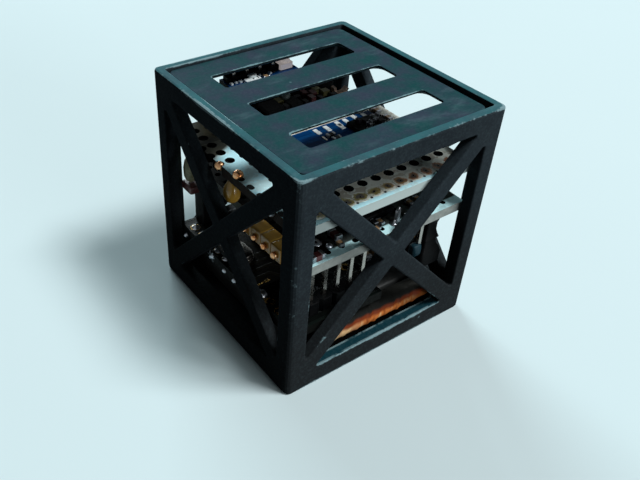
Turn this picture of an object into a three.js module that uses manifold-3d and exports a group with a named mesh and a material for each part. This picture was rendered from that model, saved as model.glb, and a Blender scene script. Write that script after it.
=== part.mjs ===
// A palm-sized cube satellite: a printed plastic frame with crossed bars on four sides,
// a slotted lid that lifts out of its pocket, and a stack of small circuit boards inside.
// Units are millimetres, +Z is up, and the origin is the centre of the underside.
// The front is -Y, and the left side is -X.

import * as THREE from 'three';
import * as BufferGeometryUtils from 'three/addons/utils/BufferGeometryUtils.js';
import Module from 'manifold-3d';

const wasm = await Module();
wasm.setup();

// ---------------------------------------------------------------- driving dimensions

// printed frame
const frameWidth = 38;          // outside, along X and along Y
const frameHeight = 39.5;
const wall = 2.0;               // thickness of every side wall
const cornerRadius = 1.0;       // outside upright edges
const floorThickness = 1.6;
const postFace = 3.2;           // width of a corner post as seen on each side
const bottomRail = 3.6;         // from the underside to the lower edge of the windows
const topRail = 3.1;            // from the upper edge of the windows to the rim
const barWidth = 3.0;           // crossed bars
const barGap = 0.3;             // where the half bars end at the long bar

// lid and the pocket that it drops into
const pocketDepth = 1.7;
const lipWidth = 1.4;           // rim left standing round the pocket
const lidThickness = 1.2;
const lidSeatGap = 0.1;
const lidFit = 0.3;             // play on the left, the front and the back
const lidSlack = 0.9;           // play on the right, where the lid is cut short
const lidCorner = 1.2;
const slotLength = 25;
const slotWidth = 4.5;
const slotPitch = 10.2;
const slotCorner = 0.8;
const slotCount = 3;

// circuit boards
const pinPitch = 2.54;
const pinSize = 0.64;
const headerBody = 2.5;         // square section of a header's plastic
const boardThickness = 1.6;
const thinBoard = 0.8;
const boardFit = 0.3;           // between a board and the walls
const lidHeadroom = 8.3;        // top board to the lid
const upperBay = 5.7;           // middle board to top board
const rearBay = 7.2;            // behind the top board
const controllerWidth = 17.8;
const boardSplit = 1.0;         // between the controller and the power board
const powerSetback = 5.7;       // power board's front edge behind the controller's
const sideInset = 2.7;          // left edge of the middle board behind the other boards

// battery
const batteryThickness = 5.2;
const batterySide = 2.5;        // to the side walls
const batteryRear = 2.0;
const tapedEnd = 3.4;           // length of the taped end
const tapeGap = 0.3;
const batteryRound = 1.6;
const foamThickness = 2.1;

// ---------------------------------------------------------------- levels and faces

const half = frameWidth / 2;
const inner = half - wall;
const windowSide = half - postFace;
const windowLow = bottomRail;
const windowHigh = frameHeight - topRail;
const ledge = frameHeight - pocketDepth;
const lidUnderside = ledge + lidSeatGap;
const boardEdge = inner - boardFit;

const batteryTop = floorThickness + batteryThickness;
const lowLevel = batteryTop + foamThickness;            // underside of the two low boards
const lowTop = lowLevel + boardThickness;
const topLevel = lidUnderside - lidHeadroom - boardThickness;
const topTop = topLevel + boardThickness;
const midTop = topLevel - upperBay;
const midLevel = midTop - boardThickness;
const topBoardRear = boardEdge - rearBay;
const controllerRight = -boardEdge + controllerWidth;
const midLeft = -boardEdge + sideInset;

// ---------------------------------------------------------------- shape helpers

const satellite = new THREE.Group();

// A closed three.js geometry as a manifold solid.
function solid(geometry) {
  const bare = geometry.clone();
  bare.deleteAttribute('normal');
  bare.deleteAttribute('uv');
  const merged = BufferGeometryUtils.mergeVertices(bare, 1e-5);
  const mesh = new wasm.Mesh({
    numProp: 3,
    vertProperties: new Float32Array(merged.attributes.position.array),
    triVerts: new Uint32Array(merged.index.array),
  });
  return new wasm.Manifold(mesh);
}

// A manifold solid as a three.js geometry.
function toGeometry(body) {
  const mesh = body.getMesh();
  const geometry = new THREE.BufferGeometry();
  geometry.setAttribute('position', new THREE.BufferAttribute(mesh.vertProperties, 3));
  geometry.setIndex(new THREE.BufferAttribute(mesh.triVerts, 1));
  geometry.computeVertexNormals();
  return geometry;
}

// A box from its ranges along X, Y and Z.
function box([x0, x1], [y0, y1], [z0, z1]) {
  const geometry = new THREE.BoxGeometry(x1 - x0, y1 - y0, z1 - z0);
  return geometry.translate((x0 + x1) / 2, (y0 + y1) / 2, (z0 + z1) / 2);
}

// The range of a given length about a middle.
function about(middle, length) {
  return [middle - length / 2, middle + length / 2];
}

// A range that starts at a value and runs on for a length, which may be negative.
function from(start, length) {
  return length < 0 ? [start + length, start] : [start, start + length];
}

// A rectangle with round corners, as a Shape.
function roundedRectangle([x0, x1], [y0, y1], radius) {
  const shape = new THREE.Shape();
  shape.moveTo(x0 + radius, y0);
  shape.lineTo(x1 - radius, y0);
  shape.absarc(x1 - radius, y0 + radius, radius, -Math.PI / 2, 0, false);
  shape.lineTo(x1, y1 - radius);
  shape.absarc(x1 - radius, y1 - radius, radius, 0, Math.PI / 2, false);
  shape.lineTo(x0 + radius, y1);
  shape.absarc(x0 + radius, y1 - radius, radius, Math.PI / 2, Math.PI, false);
  shape.lineTo(x0, y0 + radius);
  shape.absarc(x0 + radius, y0 + radius, radius, Math.PI, 1.5 * Math.PI, false);
  return shape;
}

// A shape in the XY plane, drawn up between two heights.
function slab(shape, [z0, z1], curveSegments = 5) {
  const settings = { depth: z1 - z0, bevelEnabled: false, curveSegments };
  return new THREE.ExtrudeGeometry(shape, settings).translate(0, 0, z0);
}

// Adds one named piece, with a material of its own.
function piece(name, geometry, color, roughness, metalness = 0) {
  const material = new THREE.MeshStandardMaterial({ color, roughness, metalness });
  const mesh = new THREE.Mesh(geometry, material);
  mesh.name = name;
  satellite.add(mesh);
}

const printed = (name, geometry) => piece(name, geometry, 0x2b2f31, 0.62);
const chip = (name, geometry) => piece(name, geometry, 0x141517, 0.45);

// ---------------------------------------------------------------- frame

printed('floor_plate', slab(roundedRectangle([-half, half], [-half, half], cornerRadius),
  [0, floorThickness]));

// A corner post is an angle, round on its outside edge, drawn here for the corner at +X, +Y.
function postShape(signX, signY) {
  const shape = new THREE.Shape();
  const reach = half - cornerRadius;
  const arc = Array.from({ length: 6 }, (_, i) => (i / 5) * (Math.PI / 2));
  const outline = [
    [windowSide, inner],
    [inner, inner],
    [inner, windowSide],
    [half, windowSide],
    ...arc.map((t) => [reach + cornerRadius * Math.cos(t), reach + cornerRadius * Math.sin(t)]),
    [windowSide, half],
  ];
  shape.setFromPoints(outline.map(([x, y]) => new THREE.Vector2(signX * x, signY * y)));
  return shape;
}

for (const [nameY, signY] of [['front', -1], ['back', 1]]) {
  for (const [nameX, signX] of [['left', -1], ['right', 1]]) {
    printed(`${nameY}_${nameX}_post`, slab(postShape(signX, signY), [floorThickness, ledge]));
  }
}

// Each side wall is drawn facing the front, and turned about Z to its own side.
const sides = [
  { side: 'front', turn: 0 },
  { side: 'right', turn: Math.PI / 2 },
  { side: 'back', turn: Math.PI },
  { side: 'left', turn: -Math.PI / 2 },
];

// Quarter turns by exact swaps, so that flat faces of neighbours still meet exactly.
function turned(geometry, turn) {
  const cos = Math.round(Math.cos(turn));
  const sin = Math.round(Math.sin(turn));
  const matrix = new THREE.Matrix4().set(cos, -sin, 0, 0, sin, cos, 0, 0, 0, 0, 1, 0, 0, 0, 0, 1);
  return geometry.applyMatrix4(matrix);
}

// Crossed bars run from corner to corner of the window. One bar is whole, and the two
// halves of the other end just short of it.
const windowMiddle = (windowLow + windowHigh) / 2;
const barAngle = Math.atan2(windowHigh - windowLow, 2 * windowSide);
const barReach = frameWidth + frameHeight;

function bar(start, end, width, angle) {
  const geometry = box([start, end], [-half, -inner], about(0, width));
  return solid(geometry.rotateY(-angle).translate(0, 0, windowMiddle));
}

function crossedBars() {
  const opening = solid(box(about(0, 2 * windowSide), [-half - 1, -inner + 1], [windowLow, windowHigh]));
  const whole = bar(-barReach, barReach, barWidth, -barAngle);
  const clearing = bar(-barReach, barReach, barWidth + 2 * barGap, -barAngle);
  const halfBar = (start, end) => bar(start, end, barWidth, barAngle).subtract(clearing);
  return {
    long_bar: toGeometry(whole.intersect(opening)),
    upper_half_bar: toGeometry(halfBar(0, barReach).intersect(opening)),
    lower_half_bar: toGeometry(halfBar(-barReach, 0).intersect(opening)),
  };
}

for (const { side, turn } of sides) {
  const between = about(0, 2 * windowSide);
  const thickness = [-half, -inner];
  printed(`${side}_bottom_rail`, turned(box(between, thickness, [floorThickness, bottomRail]), turn));
  printed(`${side}_top_rail`, turned(box(between, thickness, [windowHigh, ledge]), turn));
  for (const [name, geometry] of Object.entries(crossedBars())) {
    printed(`${side}_${name}`, turned(geometry, turn));
  }
}

// The rim round the pocket: two long lips with round ends, and two short ones between them.
function longLip() {
  const ring = solid(slab(roundedRectangle([-half, half], [-half, half], cornerRadius),
    [ledge, frameHeight]));
  const strip = box([-half - 1, half + 1], [-half - 1, -half + lipWidth], [ledge - 1, frameHeight + 1]);
  return toGeometry(ring.intersect(solid(strip)));
}

const shortLip = () => box(about(0, frameWidth - 2 * lipWidth), [-half, -half + lipWidth],
  [ledge, frameHeight]);

for (const { side, turn } of sides) {
  const lip = side === 'front' || side === 'back' ? longLip() : shortLip();
  printed(`${side}_lip`, turned(lip, turn));
}

// ---------------------------------------------------------------- lid

const pocket = half - lipWidth;
const lidX = [-pocket + lidFit, pocket - lidSlack];
const lidY = [-pocket + lidFit, pocket - lidFit];
const lidOutline = roundedRectangle(lidX, lidY, lidCorner);
for (let i = 0; i < slotCount; i += 1) {
  const middle = (i - (slotCount - 1) / 2) * slotPitch;
  const slot = roundedRectangle(about(0, slotLength), about(middle, slotWidth), slotCorner);
  lidOutline.holes.push(new THREE.Path(slot.getPoints(3)));
}
piece('lid', slab(lidOutline, from(lidUnderside, lidThickness), 3), 0x46595c, 0.55);

// ---------------------------------------------------------------- battery

// A cushion-edged block, round along the two edges that run from side to side.
function pouch([x0, x1], [y0, y1], [z0, z1], radius) {
  const outline = roundedRectangle([y0, y1], [z0, z1], radius);
  const settings = { depth: x1 - x0, bevelEnabled: false, curveSegments: 4 };
  const geometry = new THREE.ExtrudeGeometry(outline, settings);
  const matrix = new THREE.Matrix4().set(0, 0, 1, x0, 1, 0, 0, 0, 0, 1, 0, 0, 0, 0, 0, 1);
  return geometry.applyMatrix4(matrix);
}

const batteryX = about(0, 2 * (inner - batterySide));
const batteryZ = [floorThickness, batteryTop];
const tapeY = from(-boardEdge, tapedEnd);
piece('battery', pouch(batteryX, [tapeY[1] + tapeGap, inner - batteryRear], batteryZ, batteryRound),
  0x4b4f45, 0.4);
piece('battery_taped_end', pouch(batteryX, tapeY, batteryZ, batteryRound), 0xb4772f, 0.3);

const foamY = about(0, 14);
const foamZ = [batteryTop, lowLevel];
piece('left_foam_pad', box(from(controllerRight, -10), foamY, foamZ), 0x26272a, 0.95);
piece('right_foam_pad', box(from(controllerRight + boardSplit, 6), foamY, foamZ), 0x26272a, 0.95);

// ---------------------------------------------------------------- headers

// A row of pins in a plastic strip. The row runs along X or Y, the strip stands on `base`,
// and the pins reach up to `tip`. `lift` raises the strip above the foot of the pins.
function header({ along, count, x, y, base, tip, lift = 0 }) {
  const length = count * pinPitch;
  const alongX = along === 'x';
  const strip = alongX
    ? box(about(x, length), about(y, headerBody), from(base + lift, headerBody))
    : box(about(x, headerBody), about(y, length), from(base + lift, headerBody));
  let body = solid(strip);
  for (let i = 0; i < count; i += 1) {
    const offset = (i - (count - 1) / 2) * pinPitch;
    const pin = alongX
      ? box(about(x + offset, pinSize), about(y, pinSize), [base, tip])
      : box(about(x, pinSize), about(y + offset, pinSize), [base, tip]);
    body = body.add(solid(pin));
  }
  return toGeometry(body);
}

// ---------------------------------------------------------------- low boards

const headerInset = 2.7;        // middle of a header from the edge of its board
const board = (name, geometry, color) => piece(name, geometry, color, 0.6);

const controllerX = [-boardEdge, controllerRight];
board('controller_board', box(controllerX, about(0, 2 * boardEdge), [lowLevel, lowTop]), 0x1c2422);
piece('programming_header', header({
  along: 'x',
  count: 6,
  x: (controllerX[0] + controllerX[1]) / 2,
  y: -boardEdge + headerInset,
  base: lowTop,
  tip: midLevel,
}), 0x8d9092, 0.35, 0.6);
chip('controller_chip', box(from(controllerRight - 2.2, -7), from(boardEdge - 4, -7), from(lowTop, 1)));

// a small thin board on a strip, at the left edge of the controller
const daughterLift = 1.1;
const daughterX = from(-boardEdge + 0.5, 11.5);
const daughterY = from(-boardEdge + 10.3, 15);
const daughterZ = from(lowTop + daughterLift, thinBoard);
piece('daughter_strip', box(from(daughterX[0] + 0.6, 2.5), about((daughterY[0] + daughterY[1]) / 2, 10.2),
  [lowTop, daughterZ[0]]), 0x161719, 0.5);
board('daughter_board', box(daughterX, daughterY, daughterZ), 0x5d4a22);
piece('crystal_can', box(from(daughterX[0] + 0.5, 3.2), from(daughterY[0] + 5.2, 5), from(daughterZ[1], 1.3)),
  0xb9bdbf, 0.3, 0.8);
chip('daughter_chip', box(from(daughterX[1] - 1, -5), from(daughterY[1] - 4, -5), from(daughterZ[1], 0.9)));

const powerX = [controllerRight + boardSplit, boardEdge];
board('power_board', box(powerX, [-boardEdge + powerSetback, boardEdge], [lowLevel, lowTop]), 0x1d2326);
chip('power_coil', box(from(powerX[1] - 1, -6), from(-boardEdge + powerSetback + 2, 6), from(lowTop, 2.6)));

// ---------------------------------------------------------------- middle board

board('middle_board', box([midLeft, boardEdge], about(0, 2 * boardEdge), [midLevel, midTop]), 0x8c9186);
chip('middle_chip', box(from(midLeft + 12.3, 7), from(-boardEdge + 3.4, 7), from(midTop, 1.1)));
chip('front_connector', box(from(boardEdge - 2.5, -3.6), from(-boardEdge + 1.0, 3.2), [midLevel - 5.2, midLevel]));

// a yellow header lies along the left edge, with its pin ends facing out
const yellowPins = 4;
const yellowX = from(midLeft, -2.6);
const yellowY = from(-boardEdge + 4.1, yellowPins * pinPitch);
piece('yellow_header', box(yellowX, yellowY, from(midLevel + 0.3, headerBody)), 0xb98a25, 0.5);

// ---------------------------------------------------------------- top board

board('top_board', box(about(0, 2 * boardEdge), [-boardEdge, topBoardRear], [topLevel, topTop]), 0xb7b3a4);
const upperPins = { base: midTop, tip: topLevel };
piece('rear_stack_header', header({
  along: 'x', count: 5, x: 0, y: topBoardRear - headerInset, ...upperPins,
}), 0x222325, 0.5);
piece('right_stack_header', header({
  along: 'y', count: 5, x: boardEdge - headerInset, y: -1, ...upperPins,
}), 0x222325, 0.5);

// a dipped capacitor hangs by its lead under the left edge of the top board
const beadRadius = 1.4;
const beadLength = 4.6;
const leadRadius = 0.35;
const leadLength = 0.4;
function bead() {
  const points = [new THREE.Vector2(0, -leadLength - beadLength)];
  for (let i = 1; i < 9; i += 1) {
    const angle = (i / 9) * Math.PI;
    const radius = beadRadius * Math.sin(angle) ** 0.6;
    points.push(new THREE.Vector2(radius, -leadLength - (beadLength / 2) * (1 + Math.cos(angle))));
  }
  points.push(new THREE.Vector2(leadRadius, -leadLength));
  points.push(new THREE.Vector2(leadRadius, 0));
  points.push(new THREE.Vector2(0, 0));
  return new THREE.LatheGeometry(points, 16).rotateX(Math.PI / 2);
}
piece('bead_capacitor', bead().translate(-boardEdge + 1.7, -boardEdge + 18, topLevel), 0xc39a35, 0.45);

// a blue radio module with its chip, a black socket and a capacitor stand on the top board
const socketY = from(topBoardRear - 0.3, -4);
const moduleX = about(1.9, 21);
const moduleY = from(socketY[0] - 2, -13);
const moduleTop = topTop + 1.0;
board('radio_module', box(moduleX, moduleY, [topTop, moduleTop]), 0x1d4a86);
chip('radio_chip', box(from(moduleX[1] - 0.5, -7.4), from(moduleY[1] - 1.8, -9), from(moduleTop, 1.8)));
chip('black_socket', box(from(-5.6, 8), socketY, from(topTop, 3.3)));
piece('brown_capacitor', box(from(3.6, 4), from(topBoardRear - 0.9, -3), from(topTop, 2.6)), 0x5d4632, 0.5);

// ---------------------------------------------------------------- rear sensor board

const breakoutHeadroom = 2.1;
const breakoutThickness = 1.2;
const breakoutTop = lidUnderside - breakoutHeadroom;
const breakoutBottom = breakoutTop - breakoutThickness;
const breakoutMiddle = -1.6;
const breakoutY = [topBoardRear + 0.3, boardEdge];
piece('rear_header', header({
  along: 'x',
  count: 5,
  x: breakoutMiddle,
  y: boardEdge - 1.4,
  base: midTop,
  tip: breakoutBottom,
  lift: breakoutBottom - midTop - headerBody,
}), 0x8d9092, 0.35, 0.6);
board('rear_sensor_board', box(about(breakoutMiddle, 13.6), breakoutY, [breakoutBottom, breakoutTop]), 0x1d5a92);
piece('white_lamp', box(from(breakoutMiddle + 6.4, -2.2), from(boardEdge - 0.5, -2), from(breakoutTop, 1.1)),
  0xe6dfda, 0.4);

export default satellite;
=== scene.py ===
# %% [markdown]
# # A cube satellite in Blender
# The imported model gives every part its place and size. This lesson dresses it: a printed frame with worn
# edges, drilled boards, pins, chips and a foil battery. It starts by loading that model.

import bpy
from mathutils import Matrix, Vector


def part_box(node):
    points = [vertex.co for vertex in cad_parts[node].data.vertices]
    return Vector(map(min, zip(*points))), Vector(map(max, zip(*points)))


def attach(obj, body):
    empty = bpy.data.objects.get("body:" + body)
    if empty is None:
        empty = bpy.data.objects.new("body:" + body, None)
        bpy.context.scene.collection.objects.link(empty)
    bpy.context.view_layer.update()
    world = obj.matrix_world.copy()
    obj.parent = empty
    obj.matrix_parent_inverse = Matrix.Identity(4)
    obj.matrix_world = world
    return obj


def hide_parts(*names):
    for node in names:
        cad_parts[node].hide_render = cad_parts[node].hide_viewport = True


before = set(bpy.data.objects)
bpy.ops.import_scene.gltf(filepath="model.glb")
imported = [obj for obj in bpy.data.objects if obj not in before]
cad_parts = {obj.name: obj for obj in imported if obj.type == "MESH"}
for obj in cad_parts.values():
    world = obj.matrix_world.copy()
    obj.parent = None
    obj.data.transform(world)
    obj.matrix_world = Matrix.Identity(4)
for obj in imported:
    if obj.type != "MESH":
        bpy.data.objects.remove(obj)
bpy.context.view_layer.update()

import math

import bmesh
import bpy
import numpy as np
from mathutils import Matrix, Vector

# %% [markdown]
# Blender works in metres, and a model of this size is easier to think about in millimetres. Every
# helper below therefore takes millimetres, and one factor turns them into metres where a mesh is made.

# %% Millimetres and places
MM = 0.001


def span(node_name):
    """Lowest and highest corner of a CAD node, in millimetres."""
    low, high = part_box(node_name)
    return np.array(low) / MM, np.array(high) / MM


def middle(low, high):
    """Centre and half size of a box."""
    return (low + high) / 2, (high - low) / 2


FRAME_NODES = [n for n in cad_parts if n.endswith(("_rail", "_bar", "_lip", "_post"))] + ["floor_plate"]
half = span("right_top_rail")[1][0]
rim_top = span("front_lip")[1][2]
print("half width", round(half, 2), "height", round(rim_top, 2), "frame nodes", len(FRAME_NODES))

# %% [markdown]
# A shape is a pair: an array of points, and a list of index arrays, one for each number of corners
# that a face has. Two small functions then do most of the work of a big assembly: one joins shapes
# into one mesh, the other repeats a shape at many places by adding arrays.

# %% Shapes as arrays


def joined(*shapes):
    """Several shapes as one: points are stacked, and each face index moves up by the points before it."""
    points, faces, start = [], [], 0
    for vertices, polygons in shapes:
        points.append(vertices)
        faces += [polygon + start for polygon in polygons]
        start += len(vertices)
    return np.concatenate(points), faces


def copies(shape, places):
    """One shape at one place or many: every place is added to every point of the shape."""
    vertices, polygons = shape
    places = np.atleast_2d(np.asarray(places, float))
    starts = (np.arange(len(places)) * len(vertices))[:, None, None]
    points = (places[:, None, :] + vertices[None]).reshape(-1, 3)
    return points, [(p[None] + starts).reshape(-1, p.shape[1]) for p in polygons]


def turned(shape, axis):
    """Axes swapped in a ring, which keeps faces outward: 'x' lays a shape's height along X, 'y' along Y."""
    order = [2, 0, 1] if axis == "x" else [1, 2, 0]
    return shape[0][:, order], shape[1]


def mirrored(shape):
    """The shape in a mirror across X. Each face runs the other way round, so that it still faces out."""
    return shape[0] * (-1, 1, 1), [polygon[:, ::-1] for polygon in shape[1]]


def scaled(shape, factors):
    """The shape made longer or shorter by one factor, or by one for each axis."""
    return shape[0] * factors, shape[1]


def quarter_turns(shape, count):
    """A shape turned about the Z axis by `count` quarter turns: x becomes -y, and y becomes x."""
    points = shape[0].copy()
    for _ in range(count % 4):
        points[:, :2] = np.stack([-points[:, 1], points[:, 0]], 1)
    return points, shape[1]


def grid(points, round_rows=False, round_columns=False):
    """A surface of two parameters: points[i, j] joins to its neighbours in four-cornered faces."""
    rows, columns = points.shape[:2]
    i = np.arange(rows if round_rows else rows - 1)[:, None]
    j = np.arange(columns if round_columns else columns - 1)[None]
    below, beside = (i + 1) % rows, (j + 1) % columns
    here, next_row = i * columns, below * columns
    quads = np.stack([here + j, here + beside, next_row + beside, next_row + j], -1)
    return points.reshape(-1, 3), [quads.reshape(-1, 4)]


def rung(rings, closed_below=False, closed_above=False):
    """Rings that rise, each anticlockwise from above, with a flat face on the first or the last if asked."""
    rings = np.array(rings)
    vertices, polygons = grid(rings, round_columns=True)
    count = rings.shape[1]
    first, last = np.arange(count)[::-1], np.arange(count) + (len(rings) - 1) * count
    ends = [first] * closed_below + [last] * closed_above
    return vertices, polygons + ([np.stack(ends)] if ends else [])


def loft(rings):
    """Rings with both ends closed."""
    return rung(rings, True, True)


print("shape helpers ready")

# %% [markdown]
# Round corners are what tells a moulded or printed part from a drawn one. An outline with round
# corners is a convex polygon with a circle rolled round it: at each corner the circle gives an arc,
# and between two corners the line runs straight. A wider circle gives the same outline further out,
# with the same number of points, so two such outlines join into a bevel.

# %% Outlines with round corners


def outline(core, radius, arc=4, straights=1):
    """Points around a convex polygon: an arc about each corner, then the straight run to the next.

    The arc at a corner turns from the outward direction of one side to that of the next. `straights` is
    the number of steps on each straight run, one number or one for each side.
    """
    core = np.asarray(core, float)
    count = len(core)
    steps = np.broadcast_to(straights, count)
    side = np.roll(core, -1, 0) - core
    outward = np.arctan2(side[:, 1], side[:, 0]) - np.pi / 2
    before = np.roll(outward, 1)
    sweep = (outward - before) % (2 * np.pi)
    angle = before[:, None] + sweep[:, None] * np.linspace(0, 1, arc + 1)
    arcs = core[:, None] + radius * np.stack([np.cos(angle), np.sin(angle)], -1)
    pieces = []
    for k in range(count):
        pieces.append(arcs[k])
        share = np.linspace(0, 1, steps[k] + 1)[1:-1, None]
        pieces.append(arcs[k][-1] * (1 - share) + arcs[(k + 1) % count][0] * share)
    return np.concatenate(pieces)


def rectangle(half_x, half_y, centre=(0, 0)):
    """Four corners, anticlockwise from the lower left."""
    return np.array([[-half_x, -half_y], [half_x, -half_y], [half_x, half_y], [-half_x, half_y]]) + centre


def lifted(flat, height):
    """A flat outline at a height."""
    return np.column_stack([flat, np.full(len(flat), float(height))])


def stacked(core, radii, levels, arc):
    """A closed shape from outlines of one core, each with its own corner radius and level."""
    return loft([lifted(outline(core, radius, arc), level) for radius, level in zip(radii, levels)])


def block(low, high, radius, edge, arc=2, steps=2):
    """A box from corner `low` to corner `high`: round corners in plan, and a rounded edge above and below.

    The edge is a quarter circle: inset and drop are its radius times one minus sine and one minus cosine.
    """
    low, high = np.asarray(low, float), np.asarray(high, float)
    centre, size = middle(low, high)
    edge = min(edge, 0.9 * radius, 0.9 * size[2])
    core = rectangle(size[0] - radius, size[1] - radius, centre[:2])
    turn = np.linspace(0, np.pi / 2, steps + 1)
    inset, rise = edge * (1 - np.sin(turn)), edge * (1 - np.cos(turn))
    levels = np.concatenate([low[2] + rise, high[2] - rise[::-1]])
    return stacked(core, radius - np.concatenate([inset, inset[::-1]]), levels, arc)


def lathe(profile, sides):
    """A profile of (radius, height) pairs, rising, carried around the Z axis."""
    profile = np.asarray(profile, float)
    angle = np.arange(sides) * 2 * np.pi / sides
    around = np.stack([np.cos(angle), np.sin(angle)], -1)
    flat = profile[:, :1, None] * around[None]
    return loft(np.concatenate([flat, np.broadcast_to(profile[:, 1:, None], flat.shape[:2] + (1,))], -1))


print("an outline with four round corners has", len(outline(rectangle(1, 1), 0.2)), "points")

# %% [markdown]
# One function turns a shape into a Blender object. It writes the arrays into a mesh in metres, merges the
# points that two surfaces share if it is asked to, names the body that carries the piece, and says which CAD
# nodes it stands for. A number at each point, called wear, says how close it is to an edge that hands rub,
# and in some places also where a highlight is painted. On a drilled board it marks the lining of the holes
# instead, where the core's finish paints shade.
# A piece's material slot has the name of its finish.


def piece(name, shape, finish, stands_for=(), body="cube", wear=None, smooth=None, weld=False):
    """A mesh object from a shape in millimetres, riding on a body. `smooth` is its sharpest smooth angle."""
    vertices, polygons = shape
    mesh = bpy.data.meshes.new(name)
    faces = [face for polygon in polygons for face in polygon.tolist()]
    mesh.from_pydata((vertices * MM).tolist(), [], faces)
    if wear is not None:
        mesh.attributes.new("wear", "FLOAT", "POINT").data.foreach_set("value", np.asarray(wear, np.float32))
    if weld:
        work = bmesh.new()
        work.from_mesh(mesh)
        bmesh.ops.remove_doubles(work, verts=work.verts, dist=1e-7)
        work.to_mesh(mesh)
        work.free()
    finishes = finish if isinstance(finish, list) else [finish]
    for material in finishes:
        mesh.materials.append(material)
    mesh.polygons.foreach_set("use_smooth", np.full(len(mesh.polygons), smooth is not None))
    if smooth is not None:
        mesh.set_sharp_from_angle(angle=math.radians(smooth))
    thing = bpy.data.objects.new(name, mesh)
    bpy.context.scene.collection.objects.link(thing)
    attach(thing, body)
    if stands_for:
        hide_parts(*([stands_for] if isinstance(stands_for, str) else stands_for))
    print(f"{name}: {len(mesh.vertices)} points, {len(mesh.polygons)} faces")
    return thing


print("pieces ready")

# %% [markdown]
# ## Finishes
# A finish is a Principled shader with a few nodes in front of it. A helper adds one node and its
# inputs in one line, so that a finish reads like a recipe. Effects that several finishes share are
# node groups: mottling in two colours, worn edges, fine grain and the copper traces of a board.
# Colours are written as they look on a screen, in three numbers from 0 to 255.

# %% Node helpers


def node(tree, kind, inputs=None, **settings):
    """One shader node. An input is a number, a colour or the output socket of another node."""
    made = tree.nodes.new("ShaderNode" + kind)
    for key, value in settings.items():
        setattr(made, key, value)
    for key, value in (inputs or {}).items():
        if isinstance(value, bpy.types.NodeSocket):
            tree.links.new(value, made.inputs[key])
        else:
            made.inputs[key].default_value = value
    return made


def ramp(tree, value, low, high, to_low=0.0, to_high=1.0):
    """A number carried from one range to another, smoothly and without leaving the second."""
    return node(tree, "MapRange", {0: value, 1: low, 2: high, 3: to_low, 4: to_high},
                interpolation_type="SMOOTHSTEP").outputs[0]


def maths(tree, operation, a, b=0.0):
    """One sum on two numbers."""
    return node(tree, "Math", {0: a, 1: b}, operation=operation).outputs[0]


def times(tree, a, b):
    """Two numbers multiplied."""
    return maths(tree, "MULTIPLY", a, b)


def tone(red, green, blue):
    """A screen colour as the linear values that a shader takes."""
    share = np.array([red, green, blue]) / 255
    linear = np.where(share <= 0.04045, share / 12.92, ((share + 0.055) / 1.055) ** 2.4)
    return (*linear.tolist(), 1.0)


def paint(colour):
    """A screen colour made linear. The output of a node stays as it is."""
    return tone(*colour) if isinstance(colour, tuple) else colour


def mixed(tree, share, a, b):
    """Two colours mixed by a share."""
    return node(tree, "Mix", {0: share, 6: paint(a), 7: paint(b)}, data_type="RGBA").outputs[2]


def noise(tree, place, scale, detail=2.0, roughness=0.5, **settings):
    """Soft noise from 0 to 1."""
    return node(tree, "TexNoise", {"Vector": place, "Scale": scale, "Detail": detail, "Roughness": roughness},
                **settings).outputs[0]


def laid(tree, place, angles, stretch):
    """Coordinates turned and stretched for a pattern that has a direction."""
    return node(tree, "Mapping", {"Vector": place, "Rotation": angles, "Scale": stretch}).outputs[0]


def axes(tree, place):
    """X, Y and Z of a vector."""
    return node(tree, "SeparateXYZ", {0: place}).outputs


def wear_of(tree):
    """The number called wear, from the mesh."""
    return node(tree, "Attribute", attribute_name="wear").outputs["Fac"]


def effect(name, inputs, outputs):
    """An empty node group with named sockets. It returns the group, its input node and its output node."""
    group = bpy.data.node_groups.new(name, "ShaderNodeTree")
    kinds = {"F": "NodeSocketFloat", "C": "NodeSocketColor", "V": "NodeSocketVector"}
    for direction, sockets in (("INPUT", inputs), ("OUTPUT", outputs)):
        for label, kind in sockets:
            group.interface.new_socket(label, in_out=direction, socket_type=kinds[kind])
    return group, group.nodes.new("NodeGroupInput").outputs, group.nodes.new("NodeGroupOutput").inputs


def use(tree, group, **inputs):
    """A node group placed in a material, with its inputs by name. It returns the group's outputs."""
    values = {label: paint(value) for label, value in inputs.items()}
    return node(tree, "Group", values, node_tree=group).outputs


print("white is", tone(255, 255, 255))

# %% [markdown]
# The first two effects make a surface less even. Mottle drifts between two colours in soft patches.
# Grain is a height for a Bump node, coarse waves plus fine speckle. Both use noise on Object
# coordinates, which are metres here, so a scale of 400 is a pattern about 2.5 mm across.

# %% Mottle and grain
MOTTLE, source, sink = effect("mottle", [("Place", "V"), ("Scale", "F"), ("First", "C"), ("Second", "C"),
                                         ("Sharpness", "F")], [("Colour", "C"), ("Share", "F")])
cloud = maths(MOTTLE, "SUBTRACT", noise(MOTTLE, source["Place"], source["Scale"], 4.0, 0.6), 0.5)
contrast = node(MOTTLE, "Math", {0: cloud, 1: source["Sharpness"], 2: 0.5}, operation="MULTIPLY_ADD",
                use_clamp=True).outputs[0]
MOTTLE.links.new(contrast, sink["Share"])
MOTTLE.links.new(mixed(MOTTLE, contrast, source["First"], source["Second"]), sink["Colour"])

GRAIN, source, sink = effect("grain", [("Place", "V"), ("Scale", "F"), ("Fine", "F")], [("Height", "F")])
waves = noise(GRAIN, source["Place"], source["Scale"], 3.0)
speckle = noise(GRAIN, source["Place"], times(GRAIN, source["Scale"], 7.0), 1.0)
GRAIN.links.new(maths(GRAIN, "ADD", waves, times(GRAIN, speckle, source["Fine"])), sink["Height"])


def mottle(tree, place, scale, first, second, sharpness):
    """Two colours in soft patches. It returns the colour and the share of the second."""
    made = use(tree, MOTTLE, Place=place, Scale=scale, First=first, Second=second, Sharpness=sharpness)
    return made["Colour"], made["Share"]


def grain(tree, place, scale, fine=0.5):
    """The height of a fine grain."""
    return use(tree, GRAIN, Place=place, Scale=scale, Fine=fine)["Height"]


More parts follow.
